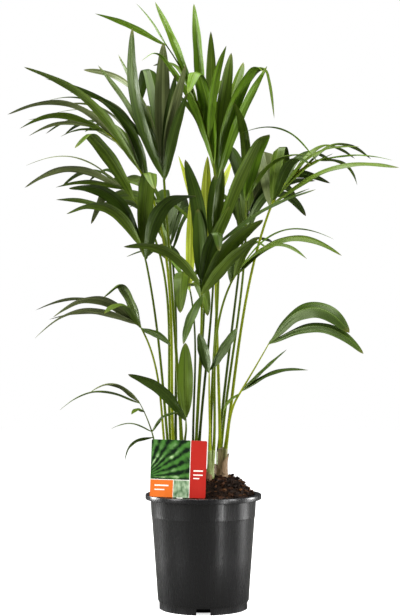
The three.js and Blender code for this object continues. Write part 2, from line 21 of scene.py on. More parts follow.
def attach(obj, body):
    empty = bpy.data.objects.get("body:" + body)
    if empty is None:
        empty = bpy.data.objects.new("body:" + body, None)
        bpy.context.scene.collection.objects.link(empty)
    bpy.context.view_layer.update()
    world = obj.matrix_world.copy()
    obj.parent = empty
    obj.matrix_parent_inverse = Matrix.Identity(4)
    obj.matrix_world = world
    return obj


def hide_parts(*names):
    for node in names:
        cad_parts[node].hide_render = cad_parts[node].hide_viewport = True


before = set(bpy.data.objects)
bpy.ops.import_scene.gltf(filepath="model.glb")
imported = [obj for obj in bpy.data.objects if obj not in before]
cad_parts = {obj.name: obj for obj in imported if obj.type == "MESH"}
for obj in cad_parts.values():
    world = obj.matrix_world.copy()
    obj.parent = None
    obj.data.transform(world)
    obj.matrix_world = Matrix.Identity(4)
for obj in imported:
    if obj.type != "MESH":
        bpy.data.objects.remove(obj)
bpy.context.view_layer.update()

MM = 0.001
GAP = 0.3
HAIR = 1e-6
FACING = 0.9
LEAF_MAP = "leaf"
log = logging.getLogger("kentia")

Rgb = tuple[int, int, int]
Rgba = tuple[float, float, float, float]
Pair = tuple[float, float]
Triple = tuple[float, float, float]
Rows = Sequence[Sequence[float]]
Socket = bpy.types.NodeSocket
Material = bpy.types.Material
Piece = bpy.types.Object


def smooth(t: float) -> float:
    """Ease from 0 to 1.

    Args:
        t: Share, clamped to 0..1.

    Returns:
        The eased share.
    """
    u = min(1.0, max(0.0, t))
    return u * u * (3 - 2 * u)


def lerp(a: float, b: float, t: float) -> float:
    """Return the value a share t of the way from a to b."""
    return (1 - t) * a + t * b


def wobble(n: float, seed: float) -> float:
    """Return a repeatable value between -1 and 1 for a number and a seed."""
    x = math.sin(n * 12.9898 + seed * 78.233) * 43758.5453
    return 2 * (x - math.floor(x)) - 1


def along(heading: float, pitch: float) -> np.ndarray:
    """Unit vector at a bearing and an angle above the horizontal.

    Args:
        heading: Bearing in degrees, 0 is +X and 90 is +Y.
        pitch: Degrees above the horizontal.

    Returns:
        The vector.
    """
    h, p = math.radians(heading), math.radians(pitch)
    return np.array([math.cos(p) * math.cos(h), math.cos(p) * math.sin(h), math.sin(p)])


def unit(vectors: np.ndarray) -> np.ndarray:
    """Return vectors scaled to length 1 along their last axis."""
    return vectors / np.linalg.norm(vectors, axis=-1, keepdims=True)


def linear(colour: Rgb) -> Rgba:
    """Turn a display colour of 0 to 255 into the linear RGBA that shaders use.

    Args:
        colour: Red, green and blue.

    Returns:
        The colour with an alpha of 1.
    """
    shares = [c / 255 for c in colour]
    low = [c / 12.92 if c <= 0.04045 else ((c + 0.055) / 1.055) ** 2.4 for c in shares]
    return (low[0], low[1], low[2], 1.0)


# Shader helpers and finishes


class Graph:
    """Short ways to add and join nodes in a material's or a group's node tree."""

    def __init__(self, tree: bpy.types.NodeTree) -> None:
        """Keep the tree that nodes go into."""
        self.tree = tree

    def node(self, kind: str, **settings: object) -> bpy.types.Node:
        """Add a node.

        Args:
            kind: Blender's node type name.
            settings: Properties of the node to set.

        Returns:
            The new node.
        """
        made = self.tree.nodes.new(kind)
        for name, value in settings.items():
            setattr(made, name, value)
        return made

    def join(self, source: Socket, target: Socket) -> None:
        """Link an output to an input."""
        self.tree.links.new(source, target)

    def feed(self, target: Socket, value: object) -> None:
        """Link a socket to an input, or set the input to a plain value.

        Args:
            target: The input.
            value: Socket or plain value.
        """
        if isinstance(value, Socket):
            self.join(value, target)
        else:
            target.default_value = value

    def math(self, operation: str, *values: object, clamp: bool = False) -> Socket:
        """Add a Math node.

        Args:
            operation: The Math node's operation.
            values: Numbers or sockets for its inputs.
            clamp: Whether to clamp the result to 0..1.

        Returns:
            The result's socket.
        """
        made = self.node("ShaderNodeMath", operation=operation, use_clamp=clamp)
        for target, value in zip(made.inputs, values):
            self.feed(target, value)
        return made.outputs[0]

    def mix(self, share: object, first: object, second: object) -> Socket:
        """Mix two colours.

        Args:
            share: Number or socket, 0 for the first colour.
            first: Colour or socket.
            second: Colour or socket.

        Returns:
            The mixed colour's socket.
        """
        made = self.node("ShaderNodeMix", data_type="RGBA")
        ends = (made.inputs[0], made.inputs[6], made.inputs[7])
        for target, value in zip(ends, (share, first, second)):
            self.feed(target, value)
        return made.outputs[2]

    def tint(self, colour: object, mask: Socket, share: float, other: object) -> Socket:
        """Mix a colour toward another as far as a mask says.

        Args:
            colour: Colour or socket.
            mask: The mask's socket, 0..1.
            share: How far to mix where the mask is 1.
            other: Colour or socket to mix toward.

        Returns:
            The mixed colour's socket.
        """
        return self.mix(self.math("MULTIPLY", mask, share), colour, other)

    def spread(self, value: Socket, low: float, high: float) -> Socket:
        """Spread the values between two bounds over 0..1.

        Args:
            value: The values' socket.
            low: What becomes 0.
            high: What becomes 1.

        Returns:
            The result's socket.
        """
        made = self.node("ShaderNodeMapRange", clamp=True)
        for name, given in (("From Min", low), ("From Max", high), ("Value", value)):
            self.feed(made.inputs[name], given)
        return made.outputs["Result"]

    def place(self) -> Sequence[Socket]:
        """Read the place in the object's own frame, in metres.

        Returns:
            The sockets of X, Y and Z.
        """
        parts = self.node("ShaderNodeSeparateXYZ")
        self.join(self.node("ShaderNodeTexCoord").outputs["Object"], parts.inputs[0])
        return parts.outputs


def new_group(name: str, inputs: dict[str, str], outputs: Sequence[str]) -> bpy.types.NodeTree:
    """Start a shader node group.

    Args:
        name: Name of the group.
        inputs: Socket type of each input by name.
        outputs: Names of the outputs, which are all plain numbers.

    Returns:
        The group, with nothing between its ends yet.
    """
    tree = bpy.data.node_groups.new(name, "ShaderNodeTree")
    for label, kind in inputs.items():
        tree.interface.new_socket(name=label, in_out="INPUT", socket_type=kind)
    for label in outputs:
        tree.interface.new_socket(name=label, in_out="OUTPUT", socket_type="NodeSocketFloat")
    return tree


@dataclass(frozen=True)
class MottlePattern:
    """Soft patches and fine specks, a node group that most finishes share.

    It takes Patch Scale, Speck Scale and Stretch, and gives Patches and Specks.
    """

    name: str = "mottle"
    patch_detail: float = 2.0
    speck_detail: float = 4.0
    low: float = 0.3
    high: float = 0.7

    def build(self) -> None:
        """Build the node group."""
        kinds = {name: "NodeSocketFloat" for name in ("Patch Scale", "Speck Scale")}
        kinds["Stretch"] = "NodeSocketVector"
        g = Graph(new_group(self.name, kinds, ("Patches", "Specks")))
        start, end = g.node("NodeGroupInput"), g.node("NodeGroupOutput")
        stretched = g.node("ShaderNodeVectorMath", operation="MULTIPLY")
        g.join(g.node("ShaderNodeTexCoord").outputs["Object"], stretched.inputs[0])
        g.join(start.outputs["Stretch"], stretched.inputs[1])
        for number, detail in enumerate((self.patch_detail, self.speck_detail)):
            noise = g.node("ShaderNodeTexNoise")
            g.feed(noise.inputs["Detail"], detail)
            g.join(stretched.outputs[0], noise.inputs["Vector"])
            g.join(start.outputs[number], noise.inputs["Scale"])
            g.join(g.spread(noise.outputs[0], self.low, self.high), end.inputs[number])


@dataclass(frozen=True)
class VeinPattern:
    """A leaflet's midrib, pleats and fine veins, a node group drawn from the UV map.

    The map's whole number across the blade is the leaflet's own, so that no two look alike.
    The group takes Veins, the number of lines across the blade, and gives five masks.
    """

    name: str = "leaflet_veins"
    pleats: float = 7.0
    pleat_run: float = 0.8
    pleat_detail: float = 0.6
    low: float = 0.34
    high: float = 0.66
    midrib: float = 22.0
    root: float = 7.0
    tip: float = 16.0
    tip_start: float = 0.93

    def build(self) -> None:
        """Build the node group."""
        masks = ("Lines", "Pleats", "Midrib", "Root", "Tip")
        g = Graph(new_group(self.name, {"Veins": "NodeSocketFloat"}, masks))
        start, end = g.node("NodeGroupInput"), g.node("NodeGroupOutput")
        parts = g.node("ShaderNodeSeparateXYZ")
        g.join(g.node("ShaderNodeUVMap", uv_map=LEAF_MAP).outputs[0], parts.inputs[0])
        across, length = g.math("FRACT", parts.outputs[0]), parts.outputs[1]
        turns = g.math("MULTIPLY", across, start.outputs["Veins"])
        wave = g.math("SINE", g.math("MULTIPLY", turns, 2 * math.pi))
        g.join(g.math("MULTIPLY_ADD", wave, 0.5, 0.5), end.inputs["Lines"])
        spot = g.node("ShaderNodeCombineXYZ")
        g.join(g.math("MULTIPLY", parts.outputs[0], self.pleats), spot.inputs[0])
        g.join(g.math("MULTIPLY", length, self.pleat_run), spot.inputs[1])
        pleats = g.node("ShaderNodeTexNoise", noise_dimensions="2D")
        g.feed(pleats.inputs["Scale"], 1.0)
        g.feed(pleats.inputs["Detail"], self.pleat_detail)
        g.join(spot.outputs[0], pleats.inputs["Vector"])
        g.join(g.spread(pleats.outputs[0], self.low, self.high), end.inputs["Pleats"])
        off = g.math("ABSOLUTE", g.math("SUBTRACT", across, 0.5))
        for mask, value, steep in (("Midrib", off, self.midrib), ("Root", length, self.root)):
            fade = g.math("SUBTRACT", 1.0, g.math("MULTIPLY", value, steep), clamp=True)
            g.join(fade, end.inputs[mask])
        past = g.math("SUBTRACT", length, self.tip_start)
        g.join(g.math("MULTIPLY", past, self.tip, clamp=True), end.inputs["Tip"])


MOTTLE = MottlePattern()
VEINS = VeinPattern()


@dataclass(frozen=True)
class Finish:
    """A finish: two colours mixed in patches, flecks over them, a sheen and a relief.

    patch, speck and stretch place the mottle, in turns to the metre. patchy is how far the
    patches reach the other colour, and flecked how far the specks reach fleck or, without one,
    the main colour darkened to dark. vary is how far the roughness strays either way, depth the
    relief's depth in millimetres and strength its share.
    """

    name: str
    main: Rgb
    other: Rgb
    roughness: float
    patch: float = 1.0
    speck: float = 1.0
    stretch: Triple = (1.0, 1.0, 1.0)
    patchy: float = 1.0
    flecked: float = 0.0
    fleck: Rgb | None = None
    dark: float = 0.7
    vary: float = 0.0
    sheen: float = 0.5
    glint: Rgb = (255, 255, 255)
    depth: float = 0.0
    strength: float = 0.0

    def material(self) -> Material:
        """Make the material and paint it.

        Returns:
            The material.
        """
        material = bpy.data.materials.new(self.name)
        material.use_nodes = True
        g = Graph(material.node_tree)
        shader = material.node_tree.nodes["Principled BSDF"]
        g.feed(shader.inputs["Roughness"], self.roughness)
        g.feed(shader.inputs["Specular IOR Level"], self.sheen)
        g.feed(shader.inputs["Specular Tint"], linear(self.glint))
        self.paint(g, shader)
        return material

    def paint(self, g: Graph, shader: bpy.types.Node) -> None:
        """Lay flecks over the ground and add the relief.

        Args:
            g: The material's graph.
            shader: The Principled shader.
        """
        mottle = self.mottled(g)
        colour = self.ground(g, mottle)
        if self.flecked:
            fleck = linear(self.fleck) if self.fleck else self.shade()
            colour = g.tint(colour, mottle["Specks"], self.flecked, fleck)
        g.join(colour, shader.inputs["Base Color"])
        if self.vary:
            self.uneven(g, shader, mottle["Specks"])
        if self.strength:
            self.relief(g, shader, mottle["Specks"])

    def ground(self, g: Graph, mottle: dict[str, Socket]) -> Socket:
        """Mix the two colours in patches.

        Args:
            g: The material's graph.
            mottle: The mottle's sockets by name.

        Returns:
            The colour's socket.
        """
        return g.tint(linear(self.main), mottle["Patches"], self.patchy, linear(self.other))

    def shade(self) -> Rgba:
        """Return the darkened main colour, for shaders."""
        red, green, blue = (int(self.dark * c) for c in self.main)
        return linear((red, green, blue))

    def relief(self, g: Graph, shader: bpy.types.Node, height: Socket) -> None:
        """Add a bump to the shader.

        Args:
            g: The material's graph.
            shader: The Principled shader.
            height: The height's socket.
        """
        bump = g.node("ShaderNodeBump")
        g.feed(bump.inputs["Strength"], self.strength)
        g.feed(bump.inputs["Distance"], self.depth * MM)
        g.join(height, bump.inputs["Height"])
        g.join(bump.outputs[0], shader.inputs["Normal"])

    def uneven(self, g: Graph, shader: bpy.types.Node, mask: Socket) -> None:
        """Let the roughness stray either way.

        Args:
            g: The material's graph.
            shader: The Principled shader.
            mask: The mask's socket, 0..1.
        """
        rough = g.math("MULTIPLY_ADD", mask, 2 * self.vary, self.roughness - self.vary)
        g.join(rough, shader.inputs["Roughness"])

    def mottled(self, g: Graph) -> dict[str, Socket]:
        """Place the shared mottle with this finish's own scales.

        Args:
            g: The material's graph.

        Returns:
            The sockets of Patches and Specks by name.
        """
        made = g.node("ShaderNodeGroup", node_tree=bpy.data.node_groups[MOTTLE.name])
        for socket, value in zip(made.inputs, (self.patch, self.speck, self.stretch)):
            g.feed(socket, value)
        return {socket.name: socket for socket in made.outputs}


@dataclass(frozen=True)
class LeafFinish(Finish):
    """Satin leaflet skin with pleats, fine veins, a paler midrib and a dry tip.

    The shares of the colour below say how far pleats, veins, midrib, root and tip show; the pleats'
    share darkens their grooves as painted shade.
    """

    patch: float = 16.0
    speck: float = 160.0
    stretch: Triple = (1.0, 1.0, 0.5)
    patchy: float = 0.75
    dark: float = 0.66
    vary: float = 0.05
    sheen: float = 0.34
    glint: Rgb = (236, 255, 200)
    depth: float = 0.6
    strength: float = 0.34
    rib: Rgb = (120, 140, 70)
    dry: Rgb = (132, 112, 62)
    veins: float = 9.0
    # How far the pleats darken the colour: painted shade in their grooves.
    painted_pleat_shade: float = 0.62
    veined: float = 0.16
    ribbed: float = 0.5
    rooted: float = 0.6
    dried: float = 0.25
    raised: float = 1.5

    def paint(self, g: Graph, shader: bpy.types.Node) -> None:
        """Lay painted shade in the pleats' grooves, and veins, midrib, root and tip, over the
        ground.

        Args:
            g: The material's graph.
            shader: The Principled shader.
        """
        lines = g.node("ShaderNodeGroup", node_tree=bpy.data.node_groups[VEINS.name])
        g.feed(lines.inputs["Veins"], self.veins)
        mottle = self.mottled(g)
        colour = self.ground(g, mottle)
        shade, rib = self.shade(), linear(self.rib)
        for mask, share, toward in (
            # Darkening along the pleats is painted shade in their grooves; the veins' darkening is
            # their own colour.
            ("Pleats", self.painted_pleat_shade, shade),
            ("Lines", self.veined, shade),
            ("Midrib", self.ribbed, rib),
            ("Root", self.rooted, rib),
            ("Tip", self.dried, linear(self.dry)),
        ):
            colour = g.tint(colour, lines.outputs[mask], share, toward)
        g.join(colour, shader.inputs["Base Color"])
        self.uneven(g, shader, mottle["Patches"])
        ribs = g.math("MULTIPLY", lines.outputs["Midrib"], self.raised)
        ribs = g.math("MULTIPLY_ADD", lines.outputs["Pleats"], -self.raised, ribs)
        self.relief(g, shader, ribs)


@dataclass(frozen=True)
class StalkFinish(Finish):
    """Smooth leaf stalk with soft patches and faint streaks along it."""

    patch: float = 9.0
    speck: float = 220.0
    stretch: Triple = (1.0, 1.0, 0.06)
    flecked: float = 0.35
    sheen: float = 0.14
    glint: Rgb = (250, 255, 190)
    depth: float = 0.3
    strength: float = 0.3


@dataclass(frozen=True)
class SheathFinish(Finish):
    """Fibrous leaf sheath: tan and brown where it has dried, and green above.

    It is dry up to the level low and green from the level high, in metres, and the border
    between the two strays by ragged either way.
    """

    patch: float = 42.0
    speck: float = 420.0
    stretch: Triple = (1.0, 1.0, 0.12)
    flecked: float = 0.7
    fleck: Rgb | None = (70, 52, 34)
    depth: float = 1.0
    strength: float = 0.8
    low: float = 0.281
    high: float = 0.341
    ragged: float = 0.02

    def ground(self, g: Graph, mottle: dict[str, Socket]) -> Socket:
        """Change from dry to green with height.

        Args:
            g: The material's graph.
            mottle: The mottle's sockets by name.

        Returns:
            The colour's socket.
        """
        level = g.math("SUBTRACT", g.place()[2], self.ragged)
        edge = g.math("MULTIPLY_ADD", mottle["Patches"], 2 * self.ragged, level)
        rise = g.spread(edge, self.low, self.high)
        return g.mix(rise, linear(self.main), linear(self.other))


@dataclass(frozen=True)
class PlasticFinish(Finish):
    """Moulded plastic with faint upright draw marks and a dusty bloom."""

    patch: float = 5.0
    speck: float = 260.0
    stretch: Triple = (1.0, 1.0, 0.04)
    patchy: float = 0.5
    vary: float = 0.05
    depth: float = 0.25
    strength: float = 0.16


@dataclass(frozen=True)
class SoilFinish(Finish):
    """Damp fibrous potting mix: dark grains with lighter flecks."""

    patch: float = 55.0
    speck: float = 340.0
    flecked: float = 0.6
    fleck: Rgb | None = (20, 12, 7)
    sheen: float = 0.12
    depth: float = 1.5
    strength: float = 0.9


@dataclass(frozen=True)
class FloorFinish(Finish):
    """Plain pale floor, lifted a little so that it runs into the white surroundings.

    Its bounce is dimmer than it looks, which keeps the undersides of the leaves dark.
    """

    dim: Rgb = (94, 94, 90)
    lift: float = 0.7

    def paint(self, g: Graph, shader: bpy.types.Node) -> None:
        """Show one colour to the camera and a dimmer one to all other rays.

        Args:
            g: The material's graph.
            shader: The Principled shader.
        """
        seen = g.node("ShaderNodeLightPath").outputs["Is Camera Ray"]
        g.join(g.mix(seen, linear(self.dim), linear(self.main)), shader.inputs["Base Color"])
        g.feed(shader.inputs["Emission Color"], linear(self.other))
        g.join(g.math("MULTIPLY", seen, self.lift), shader.inputs["Emission Strength"])


@dataclass(frozen=True)
class PrintFinish(Finish):
    """A field of printed colour on glossy card, with soft shapes in a second colour."""

    patch: float = 60.0
    stretch: Triple = (1.0, 1.0, 0.45)


@dataclass(frozen=True)
class FanPrintFinish(Finish):
    """A printed fan of leaf blades that spread from a hub beside the field.

    hub is its place in metres, blades their number to a turn, bend how far they stray in
    radians, light the colour of the pale lights on them and keen how sharp these are.
    """

    patch: float = 30.0
    speck: float = 90.0
    hub: Pair = (-0.118, 0.275)
    blades: float = 30.0
    bend: float = 0.07
    light: Rgb = (196, 220, 170)
    keen: float = 5.0

    def ground(self, g: Graph, mottle: dict[str, Socket]) -> Socket:
        """Print the blades round the hub, with pale lights on them.

        Args:
            g: The material's graph.
            mottle: The mottle's sockets by name.

        Returns:
            The colour's socket.
        """
        place = g.place()
        across = g.math("SUBTRACT", place[0], self.hub[0])
        up = g.math("SUBTRACT", place[2], self.hub[1])
        turn = g.math("ARCTAN2", up, across)
        turn = g.math("MULTIPLY_ADD", mottle["Patches"], self.bend, turn)
        wave = g.math("SINE", g.math("MULTIPLY", turn, self.blades))
        share = g.math("MULTIPLY_ADD", wave, 0.5, mottle["Specks"], clamp=True)
        colour = g.mix(share, linear(self.main), linear(self.other))
        lit = g.math("POWER", g.math("MULTIPLY", share, mottle["Patches"]), self.keen)
        return g.mix(lit, colour, linear(self.light))


class LeafTint(Enum):
    """The greens that leaflets are dealt."""

    DEEP = LeafFinish("leaf_deep", (46, 66, 13), (64, 86, 21), 0.4, rib=(80, 100, 34))
    MID = LeafFinish("leaf_mid", (72, 94, 20), (96, 118, 34), 0.4, rib=(108, 128, 50))
    LIGHT = LeafFinish("leaf_light", (88, 122, 22), (114, 146, 38), 0.4, rib=(128, 154, 60))
    # Young lime leaflets: paler in themselves, and their colour raised further as painted light
    # shining through them.
    YOUNG = LeafFinish("leaf_young", (176, 190, 42), (200, 208, 70), 0.44, rib=(200, 208, 96))
    # Grey-green leaflets: their greyed colour is a painted sheen, standing in for glossy
    # reflection.
    GREY = LeafFinish(
        "leaf_grey", (98, 108, 62), (126, 134, 88), 0.38, rib=(136, 144, 98), sheen=0.46
    )


TINT_OF = {tint.name[0]: tint for tint in LeafTint}


class StalkTint(Enum):
    """The greens of the stalks."""

    PALE = StalkFinish("stalk_pale", (108, 122, 16), (136, 146, 30), 0.38)
    GREEN = StalkFinish("stalk_green", (68, 86, 10), (92, 108, 18), 0.38)
    DARK = StalkFinish("stalk_dark", (34, 48, 8), (54, 70, 15), 0.42)


class Chip(Enum):
    """The browns of the bark and coir chips."""

    DARK = SoilFinish("chip_dark", (20, 11, 6), (36, 22, 13), 0.7)
    BROWN = SoilFinish("chip_brown", (52, 30, 16), (76, 46, 26), 0.7)
    TAN = SoilFinish("chip_tan", (84, 54, 31), (112, 76, 46), 0.75)


class Sheath(Enum):
    """How the sheaths of the canes look."""

    TAN = SheathFinish("cane_sheath", (140, 118, 80), (120, 132, 68), 0.6)
    GREEN = SheathFinish("cane_green", (118, 132, 62), (128, 150, 72), 0.5, fleck=(88, 92, 46))
    DRY = SheathFinish("cane_dry", (128, 102, 68), (150, 128, 90), 0.72)


class CardField(Enum):
    """The printed fields of the label."""

    WHITE = PrintFinish("card_white", (232, 230, 222), (224, 222, 214), 0.3, patchy=0.3)
    LEAFY = FanPrintFinish("card_leafy", (6, 26, 9), (62, 112, 42), 0.3)
    RED = PrintFinish("card_red", (166, 32, 24), (176, 42, 32), 0.3, patchy=0.4)
    MOSS = PrintFinish("card_moss", (62, 96, 58), (168, 190, 156), 0.3, patch=150.0)
    ORANGE = PrintFinish("card_orange", (212, 104, 32), (222, 118, 48), 0.3, patchy=0.4)


POT_PLASTIC = PlasticFinish("nursery_black", (12, 12, 14), (20, 19, 20), 0.27)
SOIL = SoilFinish("potting_mix", (24, 15, 9), (40, 27, 18), 0.9)
FLOOR = FloorFinish("pale_floor", (246, 246, 246), (255, 255, 255), 0.7)


class Palette:
    """Materials by finish, each made once."""

    def __init__(self) -> None:
        """Start with the shared groups and no material."""
        MOTTLE.build()
        VEINS.build()
        self.made: dict[str, Material] = {}

    def get(self, finish: Finish) -> Material:
        """Fetch a finish's material.

        Args:
            finish: The finish.

        Returns:
            Its material, made on first use.
        """
        if finish.name not in self.made:
            self.made[finish.name] = finish.material()
        return self.made[finish.name]


# Lines, room and joined meshes


@dataclass
class Line:
    """Stations along a limb or leaflet: points, sideways axes, face axes and half sizes."""

    point: np.ndarray
    across: np.ndarray
    normal: np.ndarray
    half: np.ndarray
    thick: np.ndarray

    def at(self, shares: np.ndarray) -> "Line":
        """Read the line between its stations.

        Args:
            shares: Places along the line, 0 to 1.

        Returns:
            A line with one station at each share.
        """
        x = np.clip(shares, 0, 1) * (len(self.half) - 1)
        j = np.minimum(np.floor(x).astype(int), len(self.half) - 2)
        t = x - j
        w = t[:, None]
        return Line(
            self.point[j] + (self.point[j + 1] - self.point[j]) * w,
            unit(self.across[j] + (self.across[j + 1] - self.across[j]) * w),
            unit(self.normal[j] + (self.normal[j + 1] - self.normal[j]) * w),
            self.half[j] * (1 - t) + self.half[j + 1] * t,
            self.thick[j] * (1 - t) + self.thick[j + 1] * t,
        )


def round_line(
    points: Sequence[np.ndarray], ways: Sequence[np.ndarray], radii: Sequence[float]
) -> Line:
    """Build the line of a round limb, whose sections lie square to the way it runs.

    Args:
        points: Middles of the sections.
        ways: Unit directions of the limb.
        radii: Radii of the sections.

    Returns:
        The line.
    """
    way = np.array(ways)
    level = np.array([1.0, 0.0, 0.0])
    across = unit(level - way * (way @ level)[:, None])
    sizes = np.array(radii, dtype=float)
    return Line(np.array(points), across, np.cross(across, way), sizes, sizes.copy())


class Room:
    """Flat slabs that stand for what has grown, for leaflets that look for room.

    PAD is the air kept round a slab and LAP how far it runs on at its ends, in millimetres.
    FREE is the share at the root where a leaflet may meet its own frond. A leaflet is tried at
    ALONG spots to a station, and at the shares ACROSS of its half width.
    """

    PAD = 2.4
    LAP = 1
    FREE = 0.25
    ALONG = 3
    ACROSS = np.arange(-3, 4) / 3

    def __init__(self) -> None:
        """Start empty."""
        self.owners: list[str] = []
        self.shares: list[float] = []
        self.middles: list[np.ndarray] = []
        self.axes: list[np.ndarray] = []
        self.sizes: list[Triple] = []

    def fill(self, line: Line, owner: str, share: float | None = None) -> None:
        """Take up the room of a line.

        Args:
            line: The limb or leaflet.
            owner: Name of the frond or cane that it belongs to.
            share: One share for all slabs, or None for each slab's own.
        """
        last = len(line.half) - 1
        for k in range(1, last + 1):
            way = line.point[k] - line.point[k - 1]
            size = float(np.linalg.norm(way))
            self.owners.append(owner)
            self.shares.append(k / last if share is None else share)
            self.middles.append((line.point[k] + line.point[k - 1]) / 2)
            across = unit(line.across[k] + line.across[k - 1])
            normal = unit(line.normal[k] + line.normal[k - 1])
            self.axes.append(np.array([way / size, across, normal]))
            half = (line.half[k] + line.half[k - 1]) / 2 + self.PAD
            thick = (line.thick[k] + line.thick[k - 1]) / 2 + self.PAD
            self.sizes.append((size / 2 + self.LAP, half, thick))

    def blocked(self, line: Line, owner: str) -> bool:
        """Tell whether a leaflet would meet another frond, or its own past the roots.

        Args:
            line: The leaflet's line.
            owner: Its frond.

        Returns:
            True if it meets something.
        """
        count = self.ALONG * (len(line.half) - 1)
        shares = np.arange(count) / count
        at = line.at(shares)
        side = at.across[:, None, :] * (at.half[:, None, None] * self.ACROSS[None, :, None])
        spots = (at.point[:, None, :] + side).reshape(-1, 3)
        late = np.repeat(shares >= self.FREE, len(self.ACROSS))
        sizes = np.array(self.sizes)
        middles = np.array(self.middles)
        centre = spots.mean(axis=0)
        reach = np.linalg.norm(spots - centre, axis=1).max() + np.linalg.norm(sizes, axis=1)
        near = np.nonzero(np.linalg.norm(middles - centre, axis=1) < reach)[0]
        if not len(near):
            return False
        axes = np.array([self.axes[n] for n in near])
        offset = spots[None, :, :] - middles[near][:, None, :]
        inside = np.ones(offset.shape[:2], dtype=bool)
        for axis in range(3):
            away = np.abs(np.einsum("nsk,nk->ns", offset, axes[:, axis]))
            inside &= away < sizes[near, axis, None]
        own = np.array([self.owners[n] == owner for n in near])
        early = np.array([self.shares[n] < self.FREE for n in near])
        inside[own & early] = False
        inside[own[:, None] & ~late[None, :]] = False
        return bool(inside.any())


class Growth:
    """Gathers lofted limbs and leaflets and turns them into one joined mesh."""

    def __init__(self) -> None:
        """Start empty."""
        self.spots: list[np.ndarray] = []
        self.faces: list[tuple[int, ...]] = []
        self.slots: list[int] = []
        self.marks: list[Pair] = []
        self.count = 0

    def loft(
        self, rings: np.ndarray, slot: int, across: Sequence[float], pointed: bool = False
    ) -> None:
        """Add a closed form through rings of points.

        Args:
            rings: Array of rings, points of a ring and coordinates, in millimetres.
            slot: Material slot of its faces.
            across: Position across the blade of each point of a ring, with the first again.
            pointed: Whether the last ring shrinks to one point.
        """
        n, m, _ = rings.shape
        body = rings.reshape(-1, 3)
        total = n * m
        if pointed:
            body = np.vstack([rings[:-1].reshape(-1, 3), rings[-1].mean(axis=0)[None, :]])
            total = (n - 1) * m + 1
        faces: list[tuple[int, ...]] = []
        marks: list[list[Pair]] = []
        for i in range(n - 1):
            low, high = i / (n - 1), (i + 1) / (n - 1)
            for j in range(m):
                k = (j + 1) % m
                a, b = across[j], across[j + 1]
                if pointed and i == n - 2:
                    faces.append((i * m + j, i * m + k, total - 1))
                    marks.append([(a, low), (b, low), ((a + b) / 2, high)])
                else:
                    faces.append((i * m + j, i * m + k, (i + 1) * m + k, (i + 1) * m + j))
                    marks.append([(a, low), (b, low), (b, high), (a, high)])
        faces.append(tuple(range(m - 1, -1, -1)))
        marks.append([(across[j], 0.0) for j in range(m - 1, -1, -1)])
        if not pointed:
            faces.append(tuple(range((n - 1) * m, n * m)))
            marks.append([(across[j], 1.0) for j in range(m)])
        inner = rings.mean(axis=1)
        first = np.cross(rings[0, 1] - rings[0, 0], rings[1, 0] - rings[0, 0])
        turned = self.winding(rings[0], inner[1] - inner[0]) < 0 if first.any() else False
        for face, mark in zip(faces, marks):
            face = face[::-1] if turned else face
            mark = mark[::-1] if turned else mark
            self.faces.append(tuple(self.count + v for v in face))
            self.marks.extend(mark)
            self.slots.append(slot)
        self.spots.append(body)
        self.count += total

    @staticmethod
    def winding(ring: np.ndarray, way: np.ndarray) -> float:
        """Return twice a ring's area seen along a direction, below 0 if it turns clockwise."""
        arms = ring - ring.mean(axis=0)
        return float(sum(np.cross(arms[k - 1], arms[k]) @ way for k in range(len(ring))))

    def shard(self, corners: np.ndarray, slot: int) -> None:
        """Add a six-sided chip.

        Args:
            corners: Its eight corners, four below and four above.
            slot: Material slot of its faces.
        """
        sides = ((3, 2, 1, 0), (4, 5, 6, 7), (0, 1, 5, 4), (1, 2, 6, 5), (2, 3, 7, 6), (3, 0, 4, 7))
        for side in sides:
            self.faces.append(tuple(self.count + v for v in side))
            self.marks.extend([(0.0, 0.0)] * len(side))
            self.slots.append(slot)
        self.spots.append(corners)
        self.count += len(corners)

    def piece(self, name: str, materials: Sequence[Material], angle: float = 50) -> Piece:
        """Make the object.

        Args:
            name: Its name.
            materials: Its material slots in order.
            angle: Edges sharper than this stay sharp, in degrees.

        Returns:
            The object, at the origin.
        """
        mesh = bpy.data.meshes.new(name)
        mesh.from_pydata((np.vstack(self.spots) * MM).tolist(), [], self.faces)
        mesh.polygons.foreach_set("material_index", self.slots)
        layer = mesh.uv_layers.new(name=LEAF_MAP)
        layer.data.foreach_set("uv", [c for mark in self.marks for c in mark])
        for material in materials:
            mesh.materials.append(material)
        mesh.update()
        made = bpy.data.objects.new(name, mesh)
        bpy.context.collection.objects.link(made)
        smoothen(made, angle)
        made.select_set(False)
        return made


def only(piece: Piece) -> None:
    """Select one object alone and make it active.

    Args:
        piece: The object.
    """
    bpy.ops.object.select_all(action="DESELECT")
    piece.select_set(True)
    bpy.context.view_layer.objects.active = piece


def smoothen(piece: Piece, angle: float) -> None:
    """Shade a piece smooth but for edges sharper than an angle in degrees."""
    only(piece)
    bpy.ops.object.shade_smooth_by_angle(angle=math.radians(angle))


def settle_scale() -> None:
    """Apply the place, turn and scale of the active object to its mesh."""
    bpy.ops.object.transform_apply(location=True, rotation=True, scale=True)


def face_outward() -> None:
    """Turn all faces outward and leave edit mode."""
    bpy.ops.mesh.select_all(action="SELECT")
    bpy.ops.mesh.normals_make_consistent(inside=False)
    bpy.ops.object.mode_set(mode="OBJECT")


def edit_pick(piece: Piece, wanted: set[int]) -> None:
    """Leave edit mode, select some faces alone and go back into edit mode.

    Args:
        piece: The object in edit mode.
        wanted: Indices of the faces.
    """
    bpy.ops.mesh.select_all(action="DESELECT")
    bpy.ops.object.mode_set(mode="OBJECT")
    for polygon in piece.data.polygons:
        polygon.select = polygon.index in wanted
    bpy.ops.object.mode_set(mode="EDIT")


def apply_all(piece: Piece) -> None:
    """Apply every modifier of a piece, in order.

    Args:
        piece: The piece.
    """
    only(piece)
    for modifier in list(piece.modifiers):
        bpy.ops.object.modifier_apply(modifier=modifier.name)


# Pot, soil and label


